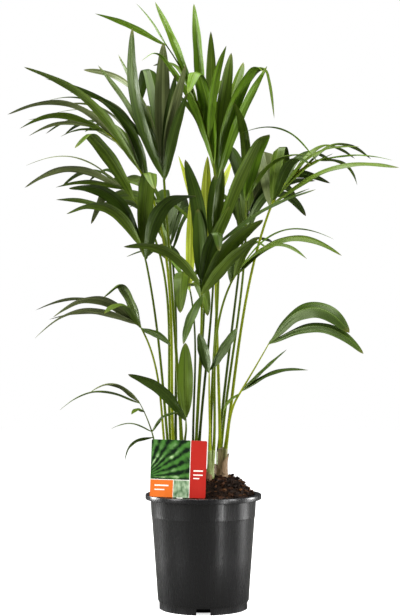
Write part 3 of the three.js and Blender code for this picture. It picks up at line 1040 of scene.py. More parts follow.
@dataclass
class NurseryPot:
    """Turned pot with a rolled rim, a ledge, a drain channel and notches in its foot ring.

    Radii and levels are in millimetres. inner, outer and depth are the drain channel's, notch
    and cut a notch's width and height, and bite and bite_in the cutter's reach across the ring.
    """

    rim: float = 120
    roll: float = 2
    lip: float = 10.5
    height: float = 234
    neck: float = 109.5
    ledge: float = 107.4
    ledge_z: float = 189
    shoulder: float = 106.4
    step: float = 94
    step_z: float = 16
    foot: float = 91.5
    wall: float = 1.8
    floor: float = 3
    inner: float = 62
    outer: float = 86
    depth: float = 15
    notches: int = 4
    notch: float = 28
    cut: float = 13
    bite: float = 14
    bite_in: float = 4
    segments: int = 144
    crease: float = 28

    def outline(self) -> list[Pair]:
        """Draw the profile; its offsets of a millimetre or so soften the corners.

        Returns:
            Radius and level from under the floor, up the wall, over the rim and down inside.
        """
        lip = self.height - self.lip
        floor = self.depth + self.floor
        rolled = []
        for turn in map(math.radians, (90, 68, 45, 22, 0)):
            wide = self.rim - self.roll + self.roll * math.sin(turn)
            rolled.append((wide, self.height - self.roll + self.roll * math.cos(turn)))
        return [
            (self.inner - 2, 0), (self.inner, self.depth), (self.outer, self.depth),
            (self.outer + 1, 0), (self.foot - 0.8, 0), (self.foot, 0.8),
            (self.foot, self.step_z - 2.4), (self.foot + 0.4, self.step_z - 1.2),
            (self.step - 0.4, self.step_z + 0.6), (self.step, self.step_z + 1.4),
            (lerp(self.step, self.shoulder, 0.5), lerp(self.step_z, self.ledge_z, 0.5)),
            (self.shoulder, self.ledge_z - 2.4), (self.shoulder + 0.3, self.ledge_z - 1.4),
            (self.ledge - 0.1, self.ledge_z - 0.6), (self.ledge, self.ledge_z + 0.6),
            (self.neck - 0.5, lip - 4), (self.neck + 0.2, lip - 1.2), (self.neck + 1.6, lip - 0.2),
            (self.rim - 1.2, lip), (self.rim - 0.3, lip + 0.5), (self.rim, lip + 1.5),
            *rolled, (self.neck + 1, self.height), (self.neck - 0.6, self.height - 0.6),
            (self.neck - self.wall, self.height - 3), (self.neck - self.wall, lip),
            (self.ledge - self.wall, self.ledge_z), (self.shoulder - self.wall, self.ledge_z - 3),
            (self.step - self.wall, self.step_z + 4), (self.foot - self.wall, floor),
            (self.inner, floor), (self.inner - 3, self.floor),
        ]

    def shell(self) -> Piece:
        """Turn the profile: one ring of edges is extruded and resized for each of its points.

        Returns:
            The closed shell.
        """
        rings = self.outline()
        radius, level = rings[0]
        bpy.ops.mesh.primitive_circle_add(
            vertices=self.segments,
            radius=radius * MM,
            fill_type="NGON",
            location=(0, 0, level * MM),
        )
        pot = bpy.context.object
        settle_scale()
        bpy.ops.object.mode_set(mode="EDIT")
        bpy.ops.mesh.select_mode(type="EDGE")
        bpy.ops.mesh.select_all(action="SELECT")
        for wide, high in rings[1:]:
            rise = (0, 0, (high - level) * MM)
            bpy.ops.mesh.extrude_edges_move(TRANSFORM_OT_translate={"value": rise})
            share = wide / radius
            bpy.ops.transform.resize(value=(share, share, 1), center_override=(0, 0, high * MM))
            radius, level = wide, high
        bpy.ops.mesh.edge_face_add()
        face_outward()
        pot.name = "nursery_pot"
        return pot

    def cut_notches(self, pot: Piece) -> None:
        """Cut the drain notches through the foot ring.

        Args:
            pot: The turned shell.
        """
        for k in range(self.notches):
            turn = 2 * math.pi * k / self.notches
            spot = Vector((0, -(self.foot - self.bite_in) * MM, 0))
            spot.rotate(Matrix.Rotation(turn, 3, "Z"))
            bpy.ops.mesh.primitive_cube_add(size=1, location=spot, rotation=(0, 0, turn))
            block = bpy.context.object
            block.scale = (self.notch * MM, self.bite * MM, 2 * self.cut * MM)
            settle_scale()
            cut = pot.modifiers.new(f"notch_{k}", "BOOLEAN")
            cut.operation, cut.solver, cut.object = "DIFFERENCE", "EXACT", block
            apply_all(pot)
            bpy.data.objects.remove(block)

    def build(self, palette: Palette) -> list[Piece]:
        """Build and dress the pot.

        Args:
            palette: Materials.

        Returns:
            The pot.
        """
        pot = self.shell()
        self.cut_notches(pot)
        smoothen(pot, self.crease)
        pot.data.materials.append(palette.get(POT_PLASTIC))
        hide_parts("pot")
        return [pot]


@dataclass
class SoilHeap:
    """Heaped potting mix, highest round a spot beside the middle of the pot.

    lumps holds the heights of its wide, close and fine unevenness. The bed reaches down by
    depth and draws in by taper, as the pot's wall does.
    """

    x: float = 18
    y: float = 18
    crest: float = 268
    edge: float = 226
    reach: float = 100
    slope: float = 62
    radius: float = 106.4
    border: float = 0.5
    depth: float = 45
    taper: float = 0.965
    lumps: Triple = (1.6, 1.1, 0.6)
    rings: int = 26
    segments: int = 128
    crease: float = 40

    def heap(self, x: float, y: float) -> float:
        """Return the height of the smooth heap at a spot."""
        spread = math.hypot(x - self.x, y - self.y)
        return lerp(self.edge, self.crest, smooth((self.reach - spread) / self.slope))

    def surface(self, x: float, y: float) -> float:
        """Find the height of the lumpy soil.

        Args:
            x: Place across.
            y: Place in depth.

        Returns:
            The height.
        """
        wide = math.sin(x * 0.11 + 1.3) * math.sin(y * 0.13 + 0.4)
        close = math.sin(x * 0.37 + y * 0.21) * math.sin(y * 0.41 - x * 0.17 + 2.1)
        fine = math.sin(x * 1.13 + 0.9) * math.sin(y * 1.21 + x * 0.31)
        lumps = self.lumps[0] * wide + self.lumps[1] * close + self.lumps[2] * fine
        return self.heap(x, y) + lumps

    def bed(self) -> Piece:
        """Make the heaped body from a disc with inset rings, pushed up to the heap.

        Returns:
            The closed body.
        """
        bpy.ops.mesh.primitive_circle_add(
            vertices=self.segments,
            radius=self.radius * MM,
            fill_type="NGON",
            location=(0, 0, self.edge * MM),
        )
        bed = bpy.context.object
        settle_scale()
        bpy.ops.object.mode_set(mode="EDIT")
        bpy.ops.mesh.select_mode(type="FACE")
        bpy.ops.mesh.select_all(action="SELECT")
        for _ in range(self.rings):
            bpy.ops.mesh.inset(thickness=self.radius / (self.rings + 1) * MM)
        bpy.ops.mesh.poke()
        face_outward()
        mesh = bed.data
        spots = np.empty(len(mesh.vertices) * 3)
        mesh.vertices.foreach_get("co", spots)
        spots = spots.reshape(-1, 3) / MM
        rim = np.hypot(spots[:, 0], spots[:, 1]) > self.radius - self.border
        for k, (x, y, _) in enumerate(spots):
            spots[k, 2] = self.edge if rim[k] else self.surface(x, y)
        mesh.vertices.foreach_set("co", (spots * MM).ravel())
        bpy.ops.object.mode_set(mode="EDIT")
        bpy.ops.mesh.select_all(action="DESELECT")
        bpy.ops.mesh.select_mode(type="EDGE")
        bpy.ops.mesh.select_non_manifold()
        drop = (0, 0, -self.depth * MM)
        bpy.ops.mesh.extrude_edges_move(TRANSFORM_OT_translate={"value": drop})
        narrow = (self.taper, self.taper, 1)
        bpy.ops.transform.resize(value=narrow, center_override=(0, 0, 0))
        bpy.ops.mesh.edge_face_add()
        face_outward()
        bed.name = "soil_bed"
        return bed

    def build(self, palette: Palette) -> list[Piece]:
        """Build and dress the soil.

        Args:
            palette: Materials.

        Returns:
            The bed and its chips.
        """
        bed = self.bed()
        smoothen(bed, self.crease)
        bed.data.materials.append(palette.get(SOIL))
        chips = BarkLitter().strew(self, palette)
        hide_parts("soil")
        return [bed, chips]


@dataclass
class BarkLitter:
    """Chips of bark and coir on the soil, more of the small than of the large.

    A chip's half length runs from least to least + more, and rarity says how rare the long
    ones are. narrow and thin are ranges of shares of it, worn of the stray of its corners.
    lean is how far it tips in radians, proud the share of its thickness that it stands up by.
    """

    count: int = 2600
    seed: int = 11
    least: float = 1.5
    more: float = 6.5
    rarity: float = 2.4
    narrow: Pair = (0.16, 0.5)
    thin: Pair = (0.12, 0.34)
    worn: Pair = (0.75, 1.15)
    top: float = 0.8
    lean: float = 0.42
    proud: float = 0.35
    margin: float = 3
    mix: Triple = (0.56, 0.34, 0.1)
    crease: float = 30

    def chip(self, rng: np.random.Generator) -> tuple[np.ndarray, float]:
        """Draw one chip.

        Args:
            rng: Seeded source of numbers.

        Returns:
            Its eight corners round its middle, and half its thickness.
        """
        size = self.least + self.more * rng.uniform() ** self.rarity
        form = np.array([size, size * rng.uniform(*self.narrow), size * rng.uniform(*self.thin)])
        square = np.array([(-1, -1), (1, -1), (1, 1), (-1, 1)], dtype=float)
        low = np.column_stack([square, -np.ones(4)])
        high = np.column_stack([square * self.top, np.ones(4)])
        box = np.vstack([low, high]) * form * rng.uniform(*self.worn, (8, 3))
        spin = Matrix.Rotation(rng.uniform(0, 2 * math.pi), 3, "Z")
        tilt = Matrix.Rotation(rng.normal(0, self.lean), 3, "X")
        tilt = tilt @ Matrix.Rotation(rng.normal(0, self.lean), 3, "Y")
        return box @ np.array(spin @ tilt).T, form[2]

    def strew(self, soil: SoilHeap, palette: Palette) -> Piece:
        """Strew the chips over the soil.

        Args:
            soil: The soil that they lie on.
            palette: Materials.

        Returns:
            The chips as one piece.
        """
        rng = np.random.default_rng(self.seed)
        growth = Growth()
        for _ in range(self.count):
            turn = rng.uniform(0, 2 * math.pi)
            out = (soil.radius - self.margin) * math.sqrt(rng.uniform())
            x, y = out * math.cos(turn), out * math.sin(turn)
            corners, thick = self.chip(rng)
            level = soil.surface(x, y) + thick * self.proud
            kind = int(rng.choice(len(self.mix), p=self.mix))
            growth.shard(corners + np.array([x, y, level]), kind)
        skins = [palette.get(kind.value) for kind in Chip]
        return growth.piece("bark_chips", skins, angle=self.crease)


@dataclass
class LabelCard:
    """Printed card on a stake, with plain and leafy fields of colour.

    point is the length of the stake's point and blunt the share of the width that it ends in.
    fields holds the left, low, right and high share of the card that each field takes.
    """

    width: float = 112
    height: float = 115
    thick: float = 1.2
    corner: float = 3
    x: float = -52
    y: float = -80
    z: float = 234
    roll: float = -2
    tilt: float = 2
    stake: float = 12
    stake_length: float = 34
    stake_x: float = 4
    point: float = 10
    blunt: float = 0.1
    fields: Sequence[tuple[float, float, float, float, CardField]] = (
        (0, 0.31, 0.7, 1, CardField.LEAFY),
        (0.71, 0, 1, 1, CardField.RED),
        (0.42, 0, 0.7, 0.30, CardField.MOSS),
        (0, 0, 0.41, 0.30, CardField.ORANGE),
        (0.08, 0.19, 0.33, 0.215, CardField.WHITE),
        (0.08, 0.12, 0.26, 0.14, CardField.WHITE),
        (0.77, 0.46, 0.94, 0.485, CardField.WHITE),
        (0.77, 0.39, 0.94, 0.41, CardField.WHITE),
        (0.77, 0.33, 0.88, 0.35, CardField.WHITE),
    )

    def blank(self) -> Piece:
        """Cut the card with its stake, standing upright at the origin.

        Returns:
            The card, with its outer corners rounded.
        """
        bpy.ops.mesh.primitive_cube_add(size=1, location=(0, 0, self.height * MM / 2))
        card = bpy.context.object
        card.scale = (self.width * MM, self.thick * MM, self.height * MM)
        settle_scale()
        bpy.ops.object.mode_set(mode="EDIT")
        for edge in (-1, 1):
            bpy.ops.mesh.select_all(action="SELECT")
            side = (self.stake_x + edge * self.stake / 2) * MM
            bpy.ops.mesh.bisect(plane_co=(side, 0, 0), plane_no=(1, 0, 0))
        bpy.ops.object.mode_set(mode="OBJECT")
        under = {
            face.index for face in card.data.polygons
            if face.normal.z < -FACING
            and abs(face.center.x - self.stake_x * MM) < self.stake * MM / 2
        }
        bpy.ops.object.mode_set(mode="EDIT")
        bpy.ops.mesh.select_mode(type="FACE")
        edit_pick(card, under)
        for drop in (self.point - self.stake_length, -self.point):
            bpy.ops.mesh.extrude_region_move(TRANSFORM_OT_translate={"value": (0, 0, drop * MM)})
        tip = (self.stake_x * MM, 0, -self.stake_length * MM)
        bpy.ops.transform.resize(value=(self.blunt, 1, 1), center_override=tip)
        bpy.ops.object.mode_set(mode="OBJECT")
        self.round_corners(card)
        card.name = "plant_label"
        return card

    def round_corners(self, card: Piece) -> None:
        """Round the card's four outer corners, seen from the front.

        Args:
            card: The card with square corners.
        """
        soft = card.modifiers.new("corners", "BEVEL")
        soft.width, soft.segments, soft.limit_method = self.corner * MM, 4, "WEIGHT"
        weights = card.data.attributes.new("bevel_weight_edge", "FLOAT", "EDGE")
        side = (self.width / 2 - 0.1) * MM
        for edge in card.data.edges:
            a, b = (card.data.vertices[v].co for v in edge.vertices)
            outer = abs(a.x) > side and abs(b.x) > side
            through = abs(a.z - b.z) < HAIR and abs(a.x - b.x) < HAIR
            weights.data[edge.index].value = float(outer and through)
        apply_all(card)

    def printed(self, card: Piece, palette: Palette) -> None:
        """Cut the print's fields into the front face and colour them.

        Args:
            card: The blank card.
            palette: Materials.
        """
        lines = sorted({e for f in self.fields for e in (f[0], f[2])} - {0, 1})
        levels = sorted({e for f in self.fields for e in (f[1], f[3])} - {0, 1})
        only(card)
        bpy.ops.object.mode_set(mode="EDIT")
        for spots, normal in ((lines, (1, 0, 0)), (levels, (0, 0, 1))):
            for spot in spots:
                across = (spot - 0.5) * self.width * MM if normal[0] else 0
                up = spot * self.height * MM if normal[2] else 0
                bpy.ops.mesh.select_all(action="SELECT")
                bpy.ops.mesh.bisect(plane_co=(across, 0, up), plane_no=normal)
        bpy.ops.object.mode_set(mode="OBJECT")
        kinds = list(CardField)
        for kind in kinds:
            card.data.materials.append(palette.get(kind.value))
        for face in card.data.polygons:
            across = face.center.x / MM / self.width + 0.5
            up = face.center.z / MM / self.height
            for left, low, right, high, kind in self.fields:
                if face.normal.y < -FACING and left < across < right and low < up < high:
                    face.material_index = kinds.index(kind)

    def build(self, palette: Palette) -> list[Piece]:
        """Build and dress the label.

        Args:
            palette: Materials.

        Returns:
            The card.
        """
        card = self.blank()
        self.printed(card, palette)
        lean = Matrix.Rotation(math.radians(-self.tilt), 4, "X")
        turn = Matrix.Rotation(math.radians(-self.roll), 4, "Y")
        card.data.transform(Matrix.Translation(Vector((self.x, self.y, self.z)) * MM) @ turn @ lean)
        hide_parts("label_card")
        return [card]


# Canes, stalks and fronds


@dataclass(frozen=True)
class CanePlan:
    """One cane: top, radius at the top, foot, flare at the foot, and its sheaths."""

    name: str
    top: Triple
    radius: float
    foot: Pair
    flare: float
    scales: int = 1
    look: Sheath = Sheath.GREEN


@dataclass(frozen=True)
class Leaf:
    """One leaflet: its place on the rib and the arc it grows in.

    A kinked leaflet folds over within FOLD of its kink, and BEND parts its fall between the
    whole length and the fold. Another keeps STRAIGHT of its length straight. NARROW and BROAD
    are the widths at which its point is longest and bluntest, LONG and BLUNT the powers that
    shape it there, and BELLY that of its root. ROOT is the share that the stem takes of the
    length and of the width.
    """

    FOLD: ClassVar[float] = 0.08
    BEND: ClassVar[Pair] = (0.3, 0.7)
    STRAIGHT: ClassVar[float] = 0.1
    NARROW: ClassVar[float] = 14
    BROAD: ClassVar[float] = 30
    LONG: ClassVar[float] = 0.9
    BLUNT: ClassVar[float] = 0.62
    BELLY: ClassVar[float] = 0.6
    ROOT: ClassVar[float] = 0.2

    at: float
    heading: float
    pitch: float
    length: float
    fall: float
    roll: float
    width: float
    kink: float
    tint: LeafTint

    def fallen(self, s: np.ndarray) -> np.ndarray:
        """Find how far the leaflet has turned down.

        Args:
            s: Shares of its length.

        Returns:
            Its turn at each share, in degrees.
        """
        ease = np.vectorize(smooth)
        if not self.kink:
            return self.fall * ease((s - self.STRAIGHT) / (1 - self.STRAIGHT))
        folded = ease((s - self.kink + self.FOLD) / (2 * self.FOLD))
        return self.fall * (self.BEND[0] * ease(s) + self.BEND[1] * folded)

    def half_width(self, s: np.ndarray) -> np.ndarray:
        """Find the half width: narrow root, belly, long point.

        Args:
            s: Shares of the length.

        Returns:
            The half width at each share.
        """
        broad = smooth((self.width - self.NARROW) / (self.BROAD - self.NARROW))
        point = lerp(self.LONG, self.BLUNT, broad)
        peak = self.BELLY / (self.BELLY + point)
        belly = s**self.BELLY * (1 - s) ** point / (peak**self.BELLY * (1 - peak) ** point)
        stem = np.maximum(belly, self.ROOT * (1 - s / self.ROOT))
        return self.width / 2 * np.where(s < self.ROOT, stem, belly)


@dataclass(frozen=True)
class FrondPlan:
    """One frond: the cane and seat it grows from, its stalk, its rib and its leaflets.

    rows holds (share of the rib, heading, pitch, length, fall, roll, width, kink) for each
    leaflet. fan, in their stead, holds pairs, spread at the neck and tip, pitch at the neck and
    tip, length, fall and seed. tints has one letter for each leaflet, used over and over.

    A fan takes FAN_SPAN of the rib, its one side FAN_LEAD ahead, and is rolled by FAN_ROLL.
    Its leaflets stray by FAN_STRAY degrees and by the shares LONG_STRAY and FALL_STRAY.
    """

    FAN_SPAN: ClassVar[float] = 0.9
    FAN_LEAD: ClassVar[float] = 0.05
    FAN_ROLL: ClassVar[float] = 25
    FAN_STRAY: ClassVar[float] = 6
    LONG_STRAY: ClassVar[float] = 0.08
    FALL_STRAY: ClassVar[float] = 0.2

    name: str
    cane: str
    seat: float
    stout: float
    neck: Triple
    heading: float
    lean: float
    blade: float
    droop: float
    width: float
    tints: str
    rows: Rows = ()
    fan: Sequence[float] = ()
    skin: StalkTint = StalkTint.GREEN

    def fanned(self) -> list[tuple[float, ...]]:
        """Spread leaflets in pairs that close toward the tip of the rib.

        Returns:
            A row for each leaflet.
        """
        pairs, wide, close, first, last, size, fall, seed = self.fan
        rows = []
        for k in range(2 * int(pairs)):
            t = (k // 2) / (pairs - 1)
            side = -1 if k % 2 else 1
            length = size * (0.8 + 0.2 * math.sin(math.pi * (0.2 + 0.7 * t)))
            rows.append((
                self.FAN_SPAN * t + (0 if k % 2 else self.FAN_LEAD),
                self.heading + side * lerp(wide, close, t) + self.FAN_STRAY * wobble(k, seed),
                lerp(first, last, t) + self.FAN_STRAY * wobble(k + 20, seed),
                length * (1 + self.LONG_STRAY * wobble(k + 40, seed)),
                fall * (1 + self.FALL_STRAY * wobble(k + 60, seed)),
                self.FAN_ROLL * side,
            ))
        return rows

    def leaflets(self) -> list[Leaf]:
        """List the frond's leaflets as planned, before any is turned.

        Returns:
            The leaflets.
        """
        leaves = []
        for k, row in enumerate(self.fanned() if self.fan else self.rows):
            *arc, width, kink = (*row, 0, 0)[:8]
            tint = TINT_OF[self.tints[k % len(self.tints)]]
            leaves.append(Leaf(*arc, width or self.width, kink, tint))
        return leaves


@dataclass(frozen=True)
class TornSheath:
    """A dry sheath that wraps a cane part of the way and ends in a torn slant.

    A cane's sheaths are numbered from the soil up, and each number adds its step to where the
    first one starts. Bearings are in degrees, reaches in shares of the cane, and the rest in
    millimetres.
    """

    columns: int = 22
    rows: int = 14
    middle: float = 200
    middle_step: float = 140
    middle_stray: float = 40
    wrap: float = 250
    wrap_step: float = 40
    reach: float = 0.5
    reach_step: float = 0.28
    reach_stray: float = 0.1
    highest: float = 0.98
    least: float = 0.15
    slant: float = 0.22
    slant_power: float = 1.5
    fray: float = 0.035
    snug: float = 0.96
    loose: float = 0.5
    flare: float = 1.8
    flare_from: float = 0.6
    outside: float = 0.5
    inside: float = -0.2

    def add(self, line: Line, number: int, growth: Growth, slot: int) -> None:
        """Add the sheath to a mesh.

        Args:
            line: The cane's line.
            number: Which sheath of the cane, from the soil up.
            growth: Mesh to add to.
            slot: Material slot.
        """
        seed = line.point[0][0] * 0.7 + number * 3.1
        middle = self.middle + self.middle_step * number + self.middle_stray * wobble(number, seed)
        wrap = self.wrap - self.wrap_step * number
        stray = self.reach_stray * wobble(number + 5, seed)
        reach = min(self.highest, self.reach + self.reach_step * number + stray)
        rings = []
        for i in range(self.rows + 1):
            outer, inner = [], []
            open_up = self.flare * smooth((i / self.rows - self.flare_from) / (1 - self.flare_from))
            for j in range(self.columns + 1):
                u = j / self.columns
                angle = math.radians(middle + (u - 0.5) * wrap)
                torn = self.slant * abs(2 * u - 1) ** self.slant_power + self.fray * wobble(j, seed)
                at = line.at(np.array([i / self.rows * max(self.least, reach - torn)]))
                loose = self.loose * (1 + number) + open_up * (0.6 + 0.4 * wobble(j + 9, seed))
                for wall, shift in ((outer, loose + self.outside), (inner, loose + self.inside)):
                    radius = at.half[0] * self.snug + shift
                    way = np.array([math.cos(angle), math.sin(angle), 0])
                    wall.append(at.point[0] + radius * way)
            rings.append(np.array(outer + inner[::-1]))
        growth.loft(np.array(rings), slot, np.linspace(0, 1, 2 * self.columns + 3))


@dataclass
class Canes:
    """The sheathed canes, each a lobed core round its stalks with torn dry sheaths on it.

    seat is how deep a foot sits below the soil round it, inset how far a stalk keeps from the
    cane's edge, and cheek the wall of the sheath round it. A core is round up to the share
    round_to and lobed a share of blend above that. It has waves wide and ripples fine lobes to
    a turn, wave and ripple high, and the wide ones turn by swirl radians on the way up. caps
    holds the shares of the width and the rises of the sections that close its top.
    """

    plans: Sequence[CanePlan]
    soil: SoilHeap
    seat: float = 6
    inset: float = 0.5
    cheek: float = 1.1
    heart: float = 0.42
    waist: float = 0.1
    stations: int = 9
    sections: int = 30
    turns: int = 28
    round_to: float = 0.25
    blend: float = 0.7
    tuck: float = 0.94
    slim: float = 0.05
    wave: float = 0.035
    waves: int = 3
    swirl: float = 2.4
    ripple: float = 0.02
    ripples: int = 7
    caps: Sequence[Pair] = ((0.72, 2.6), (0.3, 3.6))
    sheath: TornSheath = TornSheath()

    def foot_height(self, plan: CanePlan) -> float:
        """Find the level of a cane's flat foot, a little below the lowest soil round it.

        Args:
            plan: The cane.

        Returns:
            The level.
        """
        x, y = plan.foot
        wide = plan.radius + plan.flare
        low = self.soil.heap(x, y)
        for turn in map(math.radians, range(0, 360, 30)):
            low = min(low, self.soil.heap(x + wide * math.cos(turn), y + wide * math.sin(turn)))
        return low - self.seat

    def line(self, plan: CanePlan) -> Line:
        """Draw the cane's level sections from its foot to its top.

        Args:
            plan: The cane.

        Returns:
            The line.
        """
        t = np.arange(self.stations) / (self.stations - 1)
        low = self.foot_height(plan)
        radius = plan.radius * (1 - self.waist * np.sin(np.pi * t)) + plan.flare * (1 - t) ** 3
        x = lerp(plan.foot[0], plan.top[0], t)
        y = lerp(plan.foot[1], plan.top[1], t)
        points = np.column_stack([x, y, lerp(low, plan.top[2], t)])
        across = np.tile([1.0, 0.0, 0.0], (self.stations, 1))
        normal = np.tile([0.0, -1.0, 0.0], (self.stations, 1))
        return Line(points, across, normal, radius, radius.copy())

    def stand_off(self, frond: FrondPlan, fronds: Sequence[FrondPlan]) -> float:
        """Find how far a stalk stands from the middle of its cane.

        Args:
            frond: The stalk's frond.
            fronds: All fronds.

        Returns:
            The distance, 0 for the only stalk of a cane.
        """
        if sum(other.cane == frond.cane for other in fronds) == 1:
            return 0
        cane = next(plan for plan in self.plans if plan.name == frond.cane)
        return cane.radius - frond.stout - self.inset

    def lobes(self, plan: CanePlan, fronds: Sequence[FrondPlan], turn: np.ndarray) -> np.ndarray:
        """Draw the outline of the top, which wraps the feet of the stalks.

        Args:
            plan: The cane.
            fronds: All fronds.
            turn: Bearings in radians.

        Returns:
            Radius at each bearing.
        """
        outline = np.full(len(turn), self.heart * plan.radius)
        for frond in fronds:
            if frond.cane != plan.name:
                continue
            out = self.stand_off(frond, fronds)
            wide = frond.stout + self.cheek
            off = turn - math.radians(frond.seat)
            inner = wide**2 - (out * np.sin(off)) ** 2
            ray = out * np.cos(off) + np.sqrt(np.maximum(inner, 0))
            outline = np.where((inner > 0) & (ray > outline), ray, outline)
        return outline

    def core(self, plan: CanePlan, fronds: Sequence[FrondPlan], growth: Growth, slot: int) -> None:
        """Add the cane's core: round at the soil and lobed round its stalks at the top.

        Args:
            plan: The cane.
            fronds: All fronds.
            growth: Mesh to add to.
            slot: Material slot.
        """
        t = np.linspace(0, 1, self.sections)
        line = self.line(plan).at(t)
        turn = np.arange(self.turns) / self.turns * 2 * np.pi
        lobed = self.lobes(plan, fronds, turn)
        seed = plan.foot[0]
        fine = self.ripple * np.sin(self.ripples * turn + seed)
        sections = []
        for k, share in enumerate(t):
            ease = smooth((share - self.round_to) / self.blend)
            plain = line.half[k] * (self.tuck - self.slim * ease)
            phase = self.waves * turn + seed + self.swirl * share
            wave = 1 + self.wave * np.sin(phase) + fine
            sections.append((line.point[k], lerp(plain * wave, lobed, ease)))
        for share, rise in self.caps:
            sections.append((line.point[-1] + np.array([0, 0, rise]), lobed * share))
        rings = [
            np.column_stack([
                spot[0] + radius * np.cos(turn),
                spot[1] + radius * np.sin(turn),
                np.full(self.turns, spot[2]),
            ])
            for spot, radius in sections
        ]
        growth.loft(np.array(rings), slot, np.linspace(0, 1, self.turns + 1))

    def build(self, palette: Palette, fronds: Sequence[FrondPlan]) -> list[Piece]:
        """Build and dress the canes.

        Args:
            palette: Materials.
            fronds: All fronds, whose stalks the canes hold.

        Returns:
            One piece for each cane.
        """
        pieces = []
        for k, plan in enumerate(self.plans):
            growth = Growth()
            self.core(plan, fronds, growth, 0)
            for number in range(plan.scales):
                self.sheath.add(self.line(plan), number, growth, 1)
            skins = [palette.get(look.value) for look in (plan.look, Sheath.DRY)]
            piece = growth.piece(f"sheathed_cane_{k + 1}", skins)
            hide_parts(f"cane_{k + 1}")
            pieces.append(piece)
        return pieces


@dataclass(frozen=True)
class BladeForm:
    """The form of a leaflet: a thin folded blade with a raised midrib and a long point.

    above and below are the shares of the half width where its section has points, on its
    upper side and back along its under side. skin is its thickness in millimetres, spine that
    of the midrib as a multiple of it, and edge the share it loses toward the edges. fold is
    the lift of an edge as a share of the half width, flat the share of it lost at the tip.
    ripples is how many waves run along it, which come skew waves later at an edge, and twist
    how far it turns in degrees, over unwind half waves.
    """

    above: Sequence[float] = (-1, -0.62, -0.3, -0.08, 0, 0.08, 0.3, 0.62, 1)
    below: Sequence[float] = (0.62, 0.3, 0, -0.3, -0.62)
    skin: float = 0.5
    spine: float = 1.6
    edge: float = 0.75
    under: float = -0.5
    fold: float = 0.42
    flat: float = 0.55
    fold_power: float = 1.15
    ripple: float = 0.05
    ripples: float = 3.2
    skew: float = 0.3
    twist: float = 14
    unwind: float = 0.8
    stem: float = 1.2
    stem_reach: float = 0.06
    thinning: float = 0.5

    def add(self, growth: Growth, line: Line, slot: int, number: int) -> None:
        """Add a leaflet to a mesh.

        Args:
            growth: Mesh to add to.
            line: The leaflet's line.
            slot: Material slot.
            number: Its own number, for its small bends and its streaks.
        """
        seed = 1.7 * number
        above, below = np.array(self.above), np.array(self.below)
        u = np.concatenate([above, below])
        crest = np.where(above == 0, self.spine, 1.0) * self.skin * (1 - self.edge * above**2)
        hollow = self.under * self.skin * (1 - self.edge * below**2)
        lift = np.concatenate([crest, hollow])
        count = len(line.half)
        rings = []
        for k in range(count):
            s = k / (count - 1)
            half = line.half[k]
            twist = math.radians(self.twist * wobble(1, seed)) * math.sin(math.pi * s * self.unwind)
            across = line.across[k] * math.cos(twist) + line.normal[k] * math.sin(twist)
            normal = line.normal[k] * math.cos(twist) - line.across[k] * math.sin(twist)
            fold = self.fold * (1 - self.flat * s) * half * np.abs(u) ** self.fold_power
            phase = 2 * np.pi * (s * self.ripples + self.skew * u) + seed
            ripple = self.ripple * half * np.abs(u) * np.sin(phase)
            stem = 1 + self.stem * max(0.0, 1 - s / self.stem_reach)
            depth = fold + ripple - lift * stem * (1 - self.thinning * s)
            rings.append(line.point[k] + across * (u * half)[:, None] + normal * depth[:, None])
        mark = number + 0.01 + 0.49 * np.concatenate([u + 1, [0.0]])
        growth.loft(np.array(rings), slot, mark, pointed=True)


